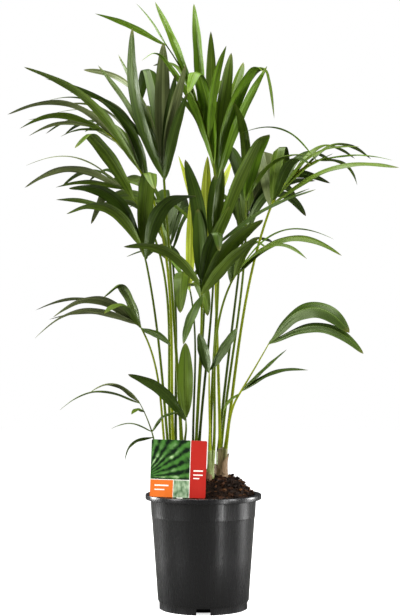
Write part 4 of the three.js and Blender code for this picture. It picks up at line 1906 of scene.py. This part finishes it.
@dataclass
class Fronds:
    """The stalks and blades, grown one after another so that each leaflet finds room.

    gap is the air between a limb and what carries it, rise the upward pull at a stalk's foot
    and upright the share of it that stands upright there. thin and tip are the shares of its
    radius that a stalk keeps at the neck and a rib at its end. collar is the bare length of the
    rib. A leaflet is least or its length over slender thick, and loses the share taper of it.
    steps are the stations that look for room, as in the source, and stations those of the mesh.
    swings holds the turns of heading and pitch tried, in this order.
    """

    plans: Sequence[FrondPlan]
    canes: Canes
    gap: float = GAP
    rise: float = 0.3
    upright: float = 0.1
    thin: float = 0.72
    tip: float = 0.5
    collar: float = 6
    least: float = 3
    slender: float = 92
    taper: float = 0.7
    steps: int = 16
    rib_steps: int = 10
    stations: int = 40
    stalk_stations: int = 48
    rib_stations: int = 24
    sides: int = 14
    stalk_groove: float = 0.3
    rib_groove: float = 0.2
    clasp: float = 0.25
    clasp_reach: float = 0.12
    crease: float = 65
    leaf: BladeForm = BladeForm()
    swings: Sequence[tuple[float, float]] = (
        (0, 0), (6, 0), (-6, 0), (12, 0), (-12, 0), (0, 5), (0, -5), (18, 0), (-18, 0), (12, 6),
        (-12, 6), (12, -6), (-12, -6), (24, 0), (-24, 0), (0, 10), (0, -10), (18, 8), (-18, 8),
        (18, -8), (-18, -8), (30, 0), (-30, 0), (0, 15), (0, -15), (30, 8), (-30, 8), (30, -8),
        (-30, -8), (40, 0), (-40, 0),
    )

    def stalk(self, frond: FrondPlan, count: int = 17) -> Line:
        """Draw the stalk's line from its seat on the cane to the neck of the blade.

        Args:
            frond: The frond.
            count: Number of stations.

        Returns:
            The line.
        """
        cane = next(plan for plan in self.canes.plans if plan.name == frond.cane)
        out = self.canes.stand_off(frond, self.plans)
        up = np.array([0.0, 0.0, 1.0])
        neck = np.array(frond.neck, dtype=float)
        foot = np.array(cane.top, dtype=float) + up * self.gap + along(frond.seat, 0) * out
        span = float(np.linalg.norm(neck - foot))
        first = foot + unit((neck - foot) / span + up * self.rise) * span / 3
        second = neck - along(frond.heading, 90 - frond.lean) * span / 3
        points, ways, radii = [], [], []
        for t in np.arange(count) / (count - 1):
            u = 1 - t
            points.append(
                foot * u**3 + first * 3 * u * u * t + second * 3 * u * t * t + neck * t**3
            )
            way = (first - foot) * u * u + (second - first) * 2 * u * t + (neck - second) * t * t
            way = unit(way)
            ways.append(unit(way + (up - way) * (1 - smooth(t / self.upright))))
            radii.append(frond.stout * lerp(1, self.thin, t))
        return round_line(points, ways, radii)

    def rib(self, frond: FrondPlan) -> Line:
        """Draw the line of the blade's rib, which leans at the neck and droops to its tip.

        Args:
            frond: The frond.

        Returns:
            The line.
        """
        spot = np.array(frond.neck) + along(frond.heading, 90 - frond.lean) * self.gap
        points, ways, radii = [], [], []
        for k in range(self.rib_steps + 1):
            t = k / self.rib_steps
            ways.append(along(frond.heading, 90 - lerp(frond.lean, frond.droop, t)))
            points.append(spot.copy())
            radii.append(frond.stout * self.thin * lerp(1, self.tip, t))
            ahead = lerp(frond.lean, frond.droop, t + 0.5 / self.rib_steps)
            spot = spot + along(frond.heading, 90 - ahead) * frond.blade / self.rib_steps
        return round_line(points, ways, radii)

    def leaf_line(self, frond: FrondPlan, rib: Line, leaf: Leaf, steps: int) -> Line:
        """Draw a leaflet's line, which arches in the upright plane of its heading.

        Args:
            frond: The frond.
            rib: Line of its rib.
            leaf: The leaflet.
            steps: Number of steps along it.

        Returns:
            The line.
        """
        start = rib.at(np.array([lerp(self.collar / frond.blade, 1, leaf.at)])).point[0]
        shares = np.arange(steps + 1) / steps
        level = along(leaf.heading + 90, 0)
        between = leaf.pitch - leaf.fallen(shares[:-1] + 0.5 / steps)
        moves = np.array([along(leaf.heading, p) for p in between]) * leaf.length / steps
        points = start + np.vstack([np.zeros(3), np.cumsum(moves, axis=0)])
        ways = np.array([along(leaf.heading, p) for p in leaf.pitch - leaf.fallen(shares)])
        roll = math.radians(leaf.roll)
        across = level * math.cos(roll) + np.cross(ways, level) * math.sin(roll)
        thick = max(self.least, leaf.length / self.slender) / 2 * (1 - self.taper * shares**2)
        return Line(points, across, np.cross(across, ways), leaf.half_width(shares), thick)

    def settle(self, frond: FrondPlan, rib: Line, room: Room) -> list[Leaf]:
        """Turn each leaflet by the first swing that clears the others, or leave it out.

        Args:
            frond: The frond.
            rib: Line of its rib.
            room: What has grown so far; the leaflets are added to it.

        Returns:
            The leaflets that found room.
        """
        kept = []
        for plan in frond.leaflets():
            for turn, lift in self.swings:
                leaf = replace(plan, heading=plan.heading + turn, pitch=plan.pitch + lift)
                line = self.leaf_line(frond, rib, leaf, self.steps)
                if not room.blocked(line, frond.name):
                    room.fill(line, frond.name)
                    kept.append(leaf)
                    break
        return kept

    def limb(self, growth: Growth, line: Line, slot: int, groove: float) -> None:
        """Add a round limb with a shallow groove along its upper side.

        Args:
            growth: Mesh to add to.
            line: The limb's line.
            slot: Material slot.
            groove: Depth of the groove as a share of the radius.
        """
        turn = np.arange(self.sides) / self.sides * 2 * np.pi
        dip = 1 - groove * np.maximum(0, np.cos(turn - np.pi / 2)) ** 6
        side = line.across[:, None, :] * (np.cos(turn) * dip)[None, :, None]
        face = line.normal[:, None, :] * (np.sin(turn) * dip)[None, :, None]
        rings = line.point[:, None, :] + (side + face) * line.half[:, None, None]
        growth.loft(rings, slot, np.linspace(0, 1, self.sides + 1))

    def dress_stalk(self, frond: FrondPlan, palette: Palette) -> Piece:
        """Build a stalk, with a clasping foot.

        Args:
            frond: The frond.
            palette: Materials.

        Returns:
            The stalk.
        """
        line = self.stalk(frond, self.stalk_stations)
        share = np.linspace(0, 1, self.stalk_stations)
        clasp = np.maximum(0, 1 - share / self.clasp_reach) ** 2
        line.half = line.half * (1 + self.clasp * clasp)
        growth = Growth()
        self.limb(growth, line, 0, self.stalk_groove)
        piece = growth.piece(f"leaf_stalk_{frond.name}", [palette.get(frond.skin.value)])
        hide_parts(f"stalk_{frond.name}")
        return piece

    def dress_blade(
        self, frond: FrondPlan, rib: Line, leaves: Sequence[Leaf], palette: Palette
    ) -> Piece:
        """Build a frond's blade: its rib and its leaflets.

        Args:
            frond: The frond.
            rib: Line of its rib.
            leaves: The leaflets that found room.
            palette: Materials.

        Returns:
            The blade.
        """
        growth = Growth()
        fine = rib.at(np.linspace(0, 1, self.rib_stations))
        fine.point[0] -= along(frond.heading, 90 - frond.lean) * 4 * self.gap
        self.limb(growth, fine, 0, self.rib_groove)
        tints: list[LeafTint] = []
        for k, leaf in enumerate(leaves):
            if leaf.tint not in tints:
                tints.append(leaf.tint)
            line = self.leaf_line(frond, rib, leaf, self.stations)
            self.leaf.add(growth, line, 1 + tints.index(leaf.tint), 16 * int(frond.name) + k)
        skins = [palette.get(look.value) for look in (frond.skin, *tints)]
        piece = growth.piece(f"frond_leaves_{frond.name}", skins, angle=self.crease)
        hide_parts(f"frond_{frond.name}")
        return piece

    def build(self, palette: Palette) -> list[Piece]:
        """Grow and dress all stalks and blades.

        Args:
            palette: Materials.

        Returns:
            The stalks and the blades.
        """
        room = Room()
        for cane in self.canes.plans:
            room.fill(self.canes.line(cane), cane.name)
        ribs = [self.rib(frond) for frond in self.plans]
        for frond, rib in zip(self.plans, ribs):
            room.fill(self.stalk(frond), frond.name, 0)
            room.fill(rib, frond.name, 0)
        pieces = [self.dress_stalk(frond, palette) for frond in self.plans]
        for frond, rib in zip(self.plans, ribs):
            leaves = self.settle(frond, rib, room)
            log.info("frond %s: %d of %d leaflets", frond.name, len(leaves), len(frond.leaflets()))
            pieces.append(self.dress_blade(frond, rib, leaves, palette))
        return pieces


# Studio


@dataclass
class Studio:
    """Pale floor, soft lights and the camera, in metres.

    world and sheen are the strengths of the surroundings to bounced and to glossy rays. lights
    holds each light's name, place, width, height, the level it is aimed at and its power.
    """

    floor_size: float = 14.0
    camera_at: Triple = (0.0, -2.8, 0.511)
    camera_to: Triple = (-0.0069, 0.0, 0.6185)
    lens: float = 78.66
    sensor: float = 36.0
    world: float = 0.3
    sheen: float = 0.1
    lights: Sequence[tuple[str, Triple, float, float, float, float]] = (
        ("left", (-2.4, -1.6, 1.5), 0.9, 2.4, 0.6, 114.0),
        ("right", (2.4, -1.5, 1.3), 0.9, 2.4, 0.6, 84.0),
        ("crown", (-0.3, -0.4, 3.4), 2.4, 2.0, 0.6, 132.0),
        ("edge_left", (-1.9, 0.75, 0.62), 0.5, 1.2, 0.6, 60.0),
        ("edge_right", (2.2, 0.7, 0.62), 0.6, 1.2, 0.6, 50.0),
        ("streak", (0.3, -0.4, 0.15), 0.03, 0.28, 0.15, 0.5),
        ("sheen", (0.55, 0.03, 0.15), 0.2, 0.28, 0.15, 0.5),
    )

    def floor(self, palette: Palette) -> None:
        """Lay the floor.

        Args:
            palette: Materials.
        """
        bpy.ops.mesh.primitive_plane_add(size=self.floor_size, location=(0, 0, 0))
        floor = bpy.context.object
        floor.name = "studio_floor"
        floor.data.materials.append(palette.get(FLOOR))

    def light_up(self) -> None:
        """Place the soft lights and the white surroundings."""
        for name, place, wide, tall, aimed, power in self.lights:
            bpy.ops.object.light_add(type="AREA", location=place)
            lamp = bpy.context.object
            lamp.name = f"soft_{name}"
            lamp.data.shape, lamp.data.energy = "RECTANGLE", power
            lamp.data.size, lamp.data.size_y = wide, tall
            aim = Vector((0, 0, aimed)) - Vector(place)
            lamp.rotation_euler = aim.to_track_quat("-Z", "Y").to_euler()
        world = bpy.data.worlds.new("white_room")
        world.use_nodes = True
        g = Graph(world.node_tree)
        path = g.node("ShaderNodeLightPath")
        back = world.node_tree.nodes["Background"]
        back.inputs[0].default_value = (1, 1, 1, 1)
        power = g.math("MULTIPLY_ADD", path.outputs["Is Camera Ray"], 1 - self.world, self.world)
        glossy = path.outputs["Is Glossy Ray"]
        power = g.math("MULTIPLY_ADD", glossy, self.sheen - self.world, power)
        g.join(power, back.inputs[1])
        bpy.context.scene.world = world
        bpy.context.scene.view_settings.view_transform = "Standard"

    def shoot(self) -> None:
        """Set up the camera."""
        bpy.ops.object.camera_add(location=self.camera_at)
        camera = bpy.context.object
        camera.data.sensor_fit, camera.data.sensor_height = "VERTICAL", self.sensor
        camera.data.lens = self.lens
        aim = Vector(self.camera_to) - Vector(self.camera_at)
        camera.rotation_euler = aim.to_track_quat("-Z", "Y").to_euler()
        bpy.context.scene.camera = camera

    def build(self, palette: Palette) -> None:
        """Build the studio.

        Args:
            palette: Materials.
        """
        self.floor(palette)
        self.light_up()
        self.shoot()


CANES = (
    CanePlan("c1", (41, 0, 326), 10.5, (38, 0), 3.5, scales=2, look=Sheath.TAN),
    CanePlan("c2", (16, -28, 324), 8.6, (13, -22), 3),
    CanePlan("c3", (-15, 14, 328), 9.4, (-12, 12), 3),
    CanePlan("c4", (-42, -14, 341), 8.4, (-38, -10), 2.5, scales=2, look=Sheath.TAN),
    CanePlan("c5", (-62, 20, 321), 8.8, (-57, 18), 2.5),
    CanePlan("c6", (-92, -30, 296), 4.4, (-87, -27), 1.6),
    CanePlan("c7", (-74, -12, 311), 7.6, (-70, -10), 2.2, scales=2, look=Sheath.TAN),
    CanePlan("c8", (34, 34, 316), 8.8, (32, 32), 2.5),
)

FRONDS = (
    FrondPlan(
        "13", "c2", seat=120, stout=3.6, neck=(22, -15, 912), heading=200,
        lean=8, blade=270, droop=38, width=26, tints="LLLLLLMMLMMM",
        rows=(
            (1, 190, 30, 160, 18, 15, 18), (1, 186, 62, 106, 18, 10, 13),
            (0.55, 218, 67, 208, 14, 0, 26), (0.35, 232, 85, 240, 6, 0, 27),
            (0, 212, 73, 305, 112, 0, 23, 0.86), (0, 240, 87, 264, 150, 0, 36, 0.76),
            (0.15, 150, 74, 230, 40, 0, 26), (0.1, 262, 87, 250, 8, 0, 24),
            (0.2, 300, 74, 240, 50, 0, 18), (0.3, 72, 64, 235, 66, 0, 26),
            (0.5, 125, 60, 215, 62, 0, 24), (0.05, 165, 80, 235, 50, 0, 28),
        ),
    ),
    FrondPlan(
        "12", "c1", seat=160, stout=3.4, neck=(29, 35, 873), heading=300,
        lean=6, blade=60, droop=10, width=34, tints="LMLMMMM",
        skin=StalkTint.PALE,
        rows=(
            (0.3, 312, 80, 285, 130, 0, 30, 0.9), (0.5, 292, 79, 252, 14, 0, 32),
            (0.2, 312, 76, 262, 20, 0, 28), (0.9, 335, 84, 345, 165, 0, 26, 0.66),
            (0.1, 75, 68, 210, 70, 0, 30), (0.3, 105, 72, 240, 70, 0, 30),
            (0.7, 60, 76, 260, 16, 0, 40),
        ),
    ),
    FrondPlan(
        "16", "c8", seat=300, stout=3, neck=(90, 30, 836), heading=260,
        lean=8, blade=20, droop=12, width=24, tints="MLDM",
        rows=(
            (0.9, 235, 100, 232, 80, 0, 22), (0.3, 292, 73, 182, 60, 0, 34),
            (0.1, 130, 80, 200, 50, 0, 30), (0.6, 330, 64, 190, 70, 0, 26),
        ),
    ),
    FrondPlan(
        "01", "c4", seat=135, stout=3.6, neck=(-81, -20, 876), heading=185,
        lean=4, blade=70, droop=10, width=29, tints="DGGDDDMMGDMD",
        rows=(
            (0.1, 241, 57, 318, -34, 0, 33), (0.6, 275, 87, 245, 14, 0, 32),
            (0.3, 300, 72, 228, 16, 0, 24), (0.15, 310, 76, 212, 16, 0, 24),
            (0.2, 100, 83, 375, 140, 0, 33, 0.72), (0, 296, 80, 190, 20, 0, 24),
            (0.2, 200, 66, 262, 20, 20, 26), (0.5, 200, 74, 245, 16, 0, 27),
            (0.95, 150, 74, 300, 66, 35, 29), (0.7, 192, 56, 300, 40, 20, 16),
            (0.1, 95, 86, 235, 60, 0, 32), (0.4, 120, 70, 235, 60, 0, 28),
        ),
    ),
    FrondPlan(
        "02", "c5", seat=270, stout=3.4, neck=(-104, -5, 843), heading=190,
        lean=18, blade=190, droop=56, width=24, tints="GGMGGMGMGMDDMDM",
        skin=StalkTint.PALE,
        rows=(
            (0.25, 195, 84, 265, 80, 20, 20), (0.35, 172, 80, 255, 80, 0, 18),
            (0.35, 214, 55, 338, 46, 10, 30), (0.55, 200, 52, 300, 80, 25, 26),
            (0.7, 178, 36, 210, 46, 20, 12), (0.9, 195, 28, 196, 62, 25, 17),
            (1, 190, 12, 155, 46, 20, 13), (0.95, 205, 4, 98, 36, 20, 12),
            (0.45, 170, 66, 235, 78, 0, 14), (0.6, 206, 66, 225, 84, 10, 14),
            (0.1, 225, 76, 235, 56, 0, 26), (0.2, 120, 64, 250, 70, 0, 26),
            (0.4, 128, 60, 250, 76, 0, 24), (0.6, 136, 50, 230, 74, 0, 22),
            (0.8, 146, 38, 205, 66, 0, 20),
        ),
    ),
    FrondPlan(
        "03", "c5", seat=150, stout=3, neck=(-137, 30, 836), heading=190,
        lean=34, blade=50, droop=50, width=26, tints="MGGMDM",
        rows=(
            (0.2, 237, 48, 256, 92, 0, 34, 0.78), (0.8, 195, 31, 236, 70, 25, 26),
            (1, 175, 42, 232, 64, 0, 13), (0.9, 200, 14, 152, 34, 20, 17),
            (0.3, 125, 50, 215, 74, 0, 24), (0.7, 142, 40, 215, 72, 0, 22),
        ),
    ),
    FrondPlan(
        "04", "c7", seat=45, stout=3, neck=(-116, -35, 703), heading=200,
        lean=12, blade=52, droop=22, width=30, tints="DMMGGDM",
        rows=(
            (1, 222, 60, 228, 72, 20, 34), (0.8, 215, 55, 214, 84, 20, 30),
            (0.9, 195, 52, 216, 54, 20, 24), (0.3, 140, 78, 275, 130, 0, 30, 0.68),
            (0.4, 75, 80, 275, 130, 0, 26, 0.68), (0.2, 315, 77, 220, 86, 0, 38),
            (0.6, 285, 84, 235, 130, 0, 34, 0.72),
        ),
    ),
    FrondPlan(
        "05", "c7", seat=225, stout=2.6, neck=(-121, -60, 565), heading=200,
        lean=28, blade=24, droop=34, width=24, tints="MGGGGDM",
        skin=StalkTint.PALE,
        rows=(
            (0.4, 200, 76, 146, 120, 20, 35, 0.68), (0.6, 212, 39, 222, 78, 25, 30),
            (1, 172, 33, 232, 58, 10, 18), (0.8, 184, 20, 188, 38, 20, 20),
            (1, 203, 20, 248, 64, 15, 18), (0.3, 330, -14, 82, 30, 30, 17),
            (0.4, 245, 40, 170, 70, 0, 24),
        ),
    ),
    FrondPlan(
        "06", "c6", seat=0, stout=2.2, neck=(-100, -55, 347), heading=195,
        lean=14, blade=85, droop=30, width=16, tints="GMMDDM",
        rows=(
            (1, 205, 46, 126, 82, 20, 24), (0.95, 190, 25, 178, 66, 15, 16),
            (0.15, 200, 30, 92, 56, 10, 11), (0, 200, 0, 88, 84, 20, 18),
            (0.15, 330, 60, 80, 62, 10, 24), (0.7, 250, 20, 70, 50, 0, 16),
        ),
    ),
    FrondPlan(
        "07", "c4", seat=315, stout=2.6, neck=(-35, -66, 380), heading=250,
        lean=5, blade=14, droop=8, width=28, tints="DM",
        rows=(
            (0.3, 207, 54, 164, 40, 30, 28), (1, 268, 88, 152, 8, 0, 32),
        ),
    ),
    FrondPlan(
        "08", "c2", seat=250, stout=2.4, neck=(12, -62, 476), heading=280,
        lean=4, blade=14, droop=8, width=24, tints="DD",
        skin=StalkTint.PALE,
        rows=(
            (0.3, 205, 78, 84, 10, 10, 30), (1, 335, 58, 106, 10, 50, 30),
        ),
    ),
    FrondPlan(
        "09", "c1", seat=325, stout=3, neck=(71, -50, 437), heading=345,
        lean=32, blade=128, droop=30, width=22, tints="DDDDM",
        skin=StalkTint.PALE,
        rows=(
            (1, 335, 52, 215, 104, 48, 40), (0.97, 335, 27, 226, 74, 40, 28),
            (0.1, 342, 44, 122, 8, 30, 18), (0.04, 345, 37, 152, 44, 35, 18),
            (0, 215, -20, 60, 50, 0, 12),
        ),
    ),
    FrondPlan(
        "10", "c2", seat=350, stout=3, neck=(53, -35, 660), heading=350,
        lean=24, blade=40, droop=36, width=22, tints="MLMDDM",
        rows=(
            (0.6, 345, 46, 258, 82, 35, 24), (0.8, 5, 55, 245, 80, 0, 16),
            (1, 330, 42, 190, 82, 20, 18), (0.3, 60, 66, 200, 80, 0, 26),
            (0.1, 85, 70, 170, 80, 0, 24), (0.5, 292, 52, 190, 80, 0, 22),
        ),
    ),
    FrondPlan(
        "11", "c1", seat=45, stout=3.4, neck=(137, 10, 819), heading=350,
        lean=20, blade=150, droop=66, width=28, tints="MMMMLDMGLDMMD",
        skin=StalkTint.PALE,
        rows=(
            (0.1, 343, 36, 288, 50, 30, 34), (0.3, 350, 56, 205, 62, 25, 26),
            (0.2, 338, 56, 152, 30, 10, 30), (1, 10, 8, 118, 84, 0, 16),
            (1, 355, 6, 160, 26, 0, 16), (0.05, 338, 28, 92, 14, 20, 19),
            (0.1, 66, 84, 235, 150, 0, 31, 0.58), (0.04, 102, 84, 270, 140, 0, 38, 0.55),
            (1, 178, 54, 185, 74, 0, 10), (0.3, 62, 59, 236, 78, 0, 25),
            (0.55, 52, 52, 230, 78, 0, 23), (0.8, 40, 43, 210, 74, 0, 20),
            (0.15, 290, 50, 215, 78, 0, 24),
        ),
    ),
    FrondPlan(
        "14", "c3", seat=270, stout=3.4, neck=(-3, -70, 636), heading=270,
        lean=3, blade=40, droop=6, width=32, tints="MDMDMMDD",
        rows=(
            (0.5, 203, 52, 200, 62, 30, 30), (0.8, 248, 86, 148, 10, 0, 30),
            (0.9, 305, 66, 172, 22, 0, 28), (0.25, 290, 80, 190, 150, 0, 32, 0.78),
            (0.2, 312, 54, 228, 38, -15, 40), (0.1, 316, 46, 188, 26, -15, 36),
            (1, 238, 90, 252, 40, 0, 31), (0, 238, -42, 125, 30, 0, 24),
        ),
    ),
    FrondPlan(
        "15", "c3", seat=0, stout=3, neck=(22, -38, 712), heading=290,
        lean=4, blade=40, droop=8, width=32, tints="DMDM",
        skin=StalkTint.DARK,
        rows=(
            (0.5, 275, 88, 155, 8, 0, 32), (0.6, 312, 66, 280, 60, 0, 30, 0.9),
            (0.8, 352, 40, 240, 26, 30, 26), (0.9, 300, 80, 160, 20, 0, 26),
        ),
    ),
    FrondPlan(
        "17", "c3", seat=90, stout=3, neck=(4, 90, 714), heading=90,
        lean=4, blade=60, droop=10, width=24, tints="YYYLM",
        skin=StalkTint.DARK,
        rows=(
            (0.1, 130, 76, 255, 16, 0, 22), (0.6, 80, 86, 205, 10, 0, 24),
            (0.8, 60, 66, 232, 18, 0, 24), (0.9, 45, 58, 225, 20, 0, 24),
            (0.6, 170, 66, 230, 90, 0, 26),
        ),
    ),
    FrondPlan(
        "18", "c5", seat=30, stout=3.2, neck=(-68, 110, 737), heading=118,
        lean=14, blade=90, droop=34, width=28, tints="MD",
        skin=StalkTint.DARK,
        fan=(5, 74, 16, 70, 62, 240, 84, 3),
    ),
    FrondPlan(
        "19", "c8", seat=120, stout=3.2, neck=(84, 108, 760), heading=62,
        lean=14, blade=90, droop=34, width=28, tints="MD",
        skin=StalkTint.DARK,
        fan=(5, 74, 16, 70, 62, 240, 84, 5),
    ),
    FrondPlan(
        "20", "c3", seat=180, stout=2.6, neck=(-26, 96, 646), heading=125,
        lean=16, blade=70, droop=38, width=26, tints="YMDDLMMM",
        skin=StalkTint.DARK,
        rows=(
            (0.2, 95, 88, 208, 6, 0, 20), (0.5, 150, 54, 190, 76, 0, 26),
            (0.9, 120, 50, 200, 80, 0, 24), (0.7, 60, 60, 190, 80, 0, 24),
            (0.1, 200, 66, 180, 56, 0, 24), (0.3, 20, 66, 190, 70, 0, 24),
            (0.9, 255, -5, 170, 76, 0, 32), (0.3, 300, 10, 170, 85, 0, 30),
        ),
    ),
)


def main() -> None:
    """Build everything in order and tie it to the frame."""
    bpy.ops.object.select_all(action="DESELECT")
    palette = Palette()
    soil = SoilHeap()
    canes = Canes(CANES, soil)
    pieces = NurseryPot().build(palette) + soil.build(palette) + LabelCard().build(palette)
    pieces += canes.build(palette, FRONDS) + Fronds(FRONDS, canes).build(palette)
    for piece in pieces:
        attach(piece, "root")
        log.info("%s: %d faces", piece.name, len(piece.data.polygons))
    Studio().build(palette)
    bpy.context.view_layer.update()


if __name__ == "__main__":
    logging.basicConfig(level=logging.INFO, format="%(message)s")
    main()
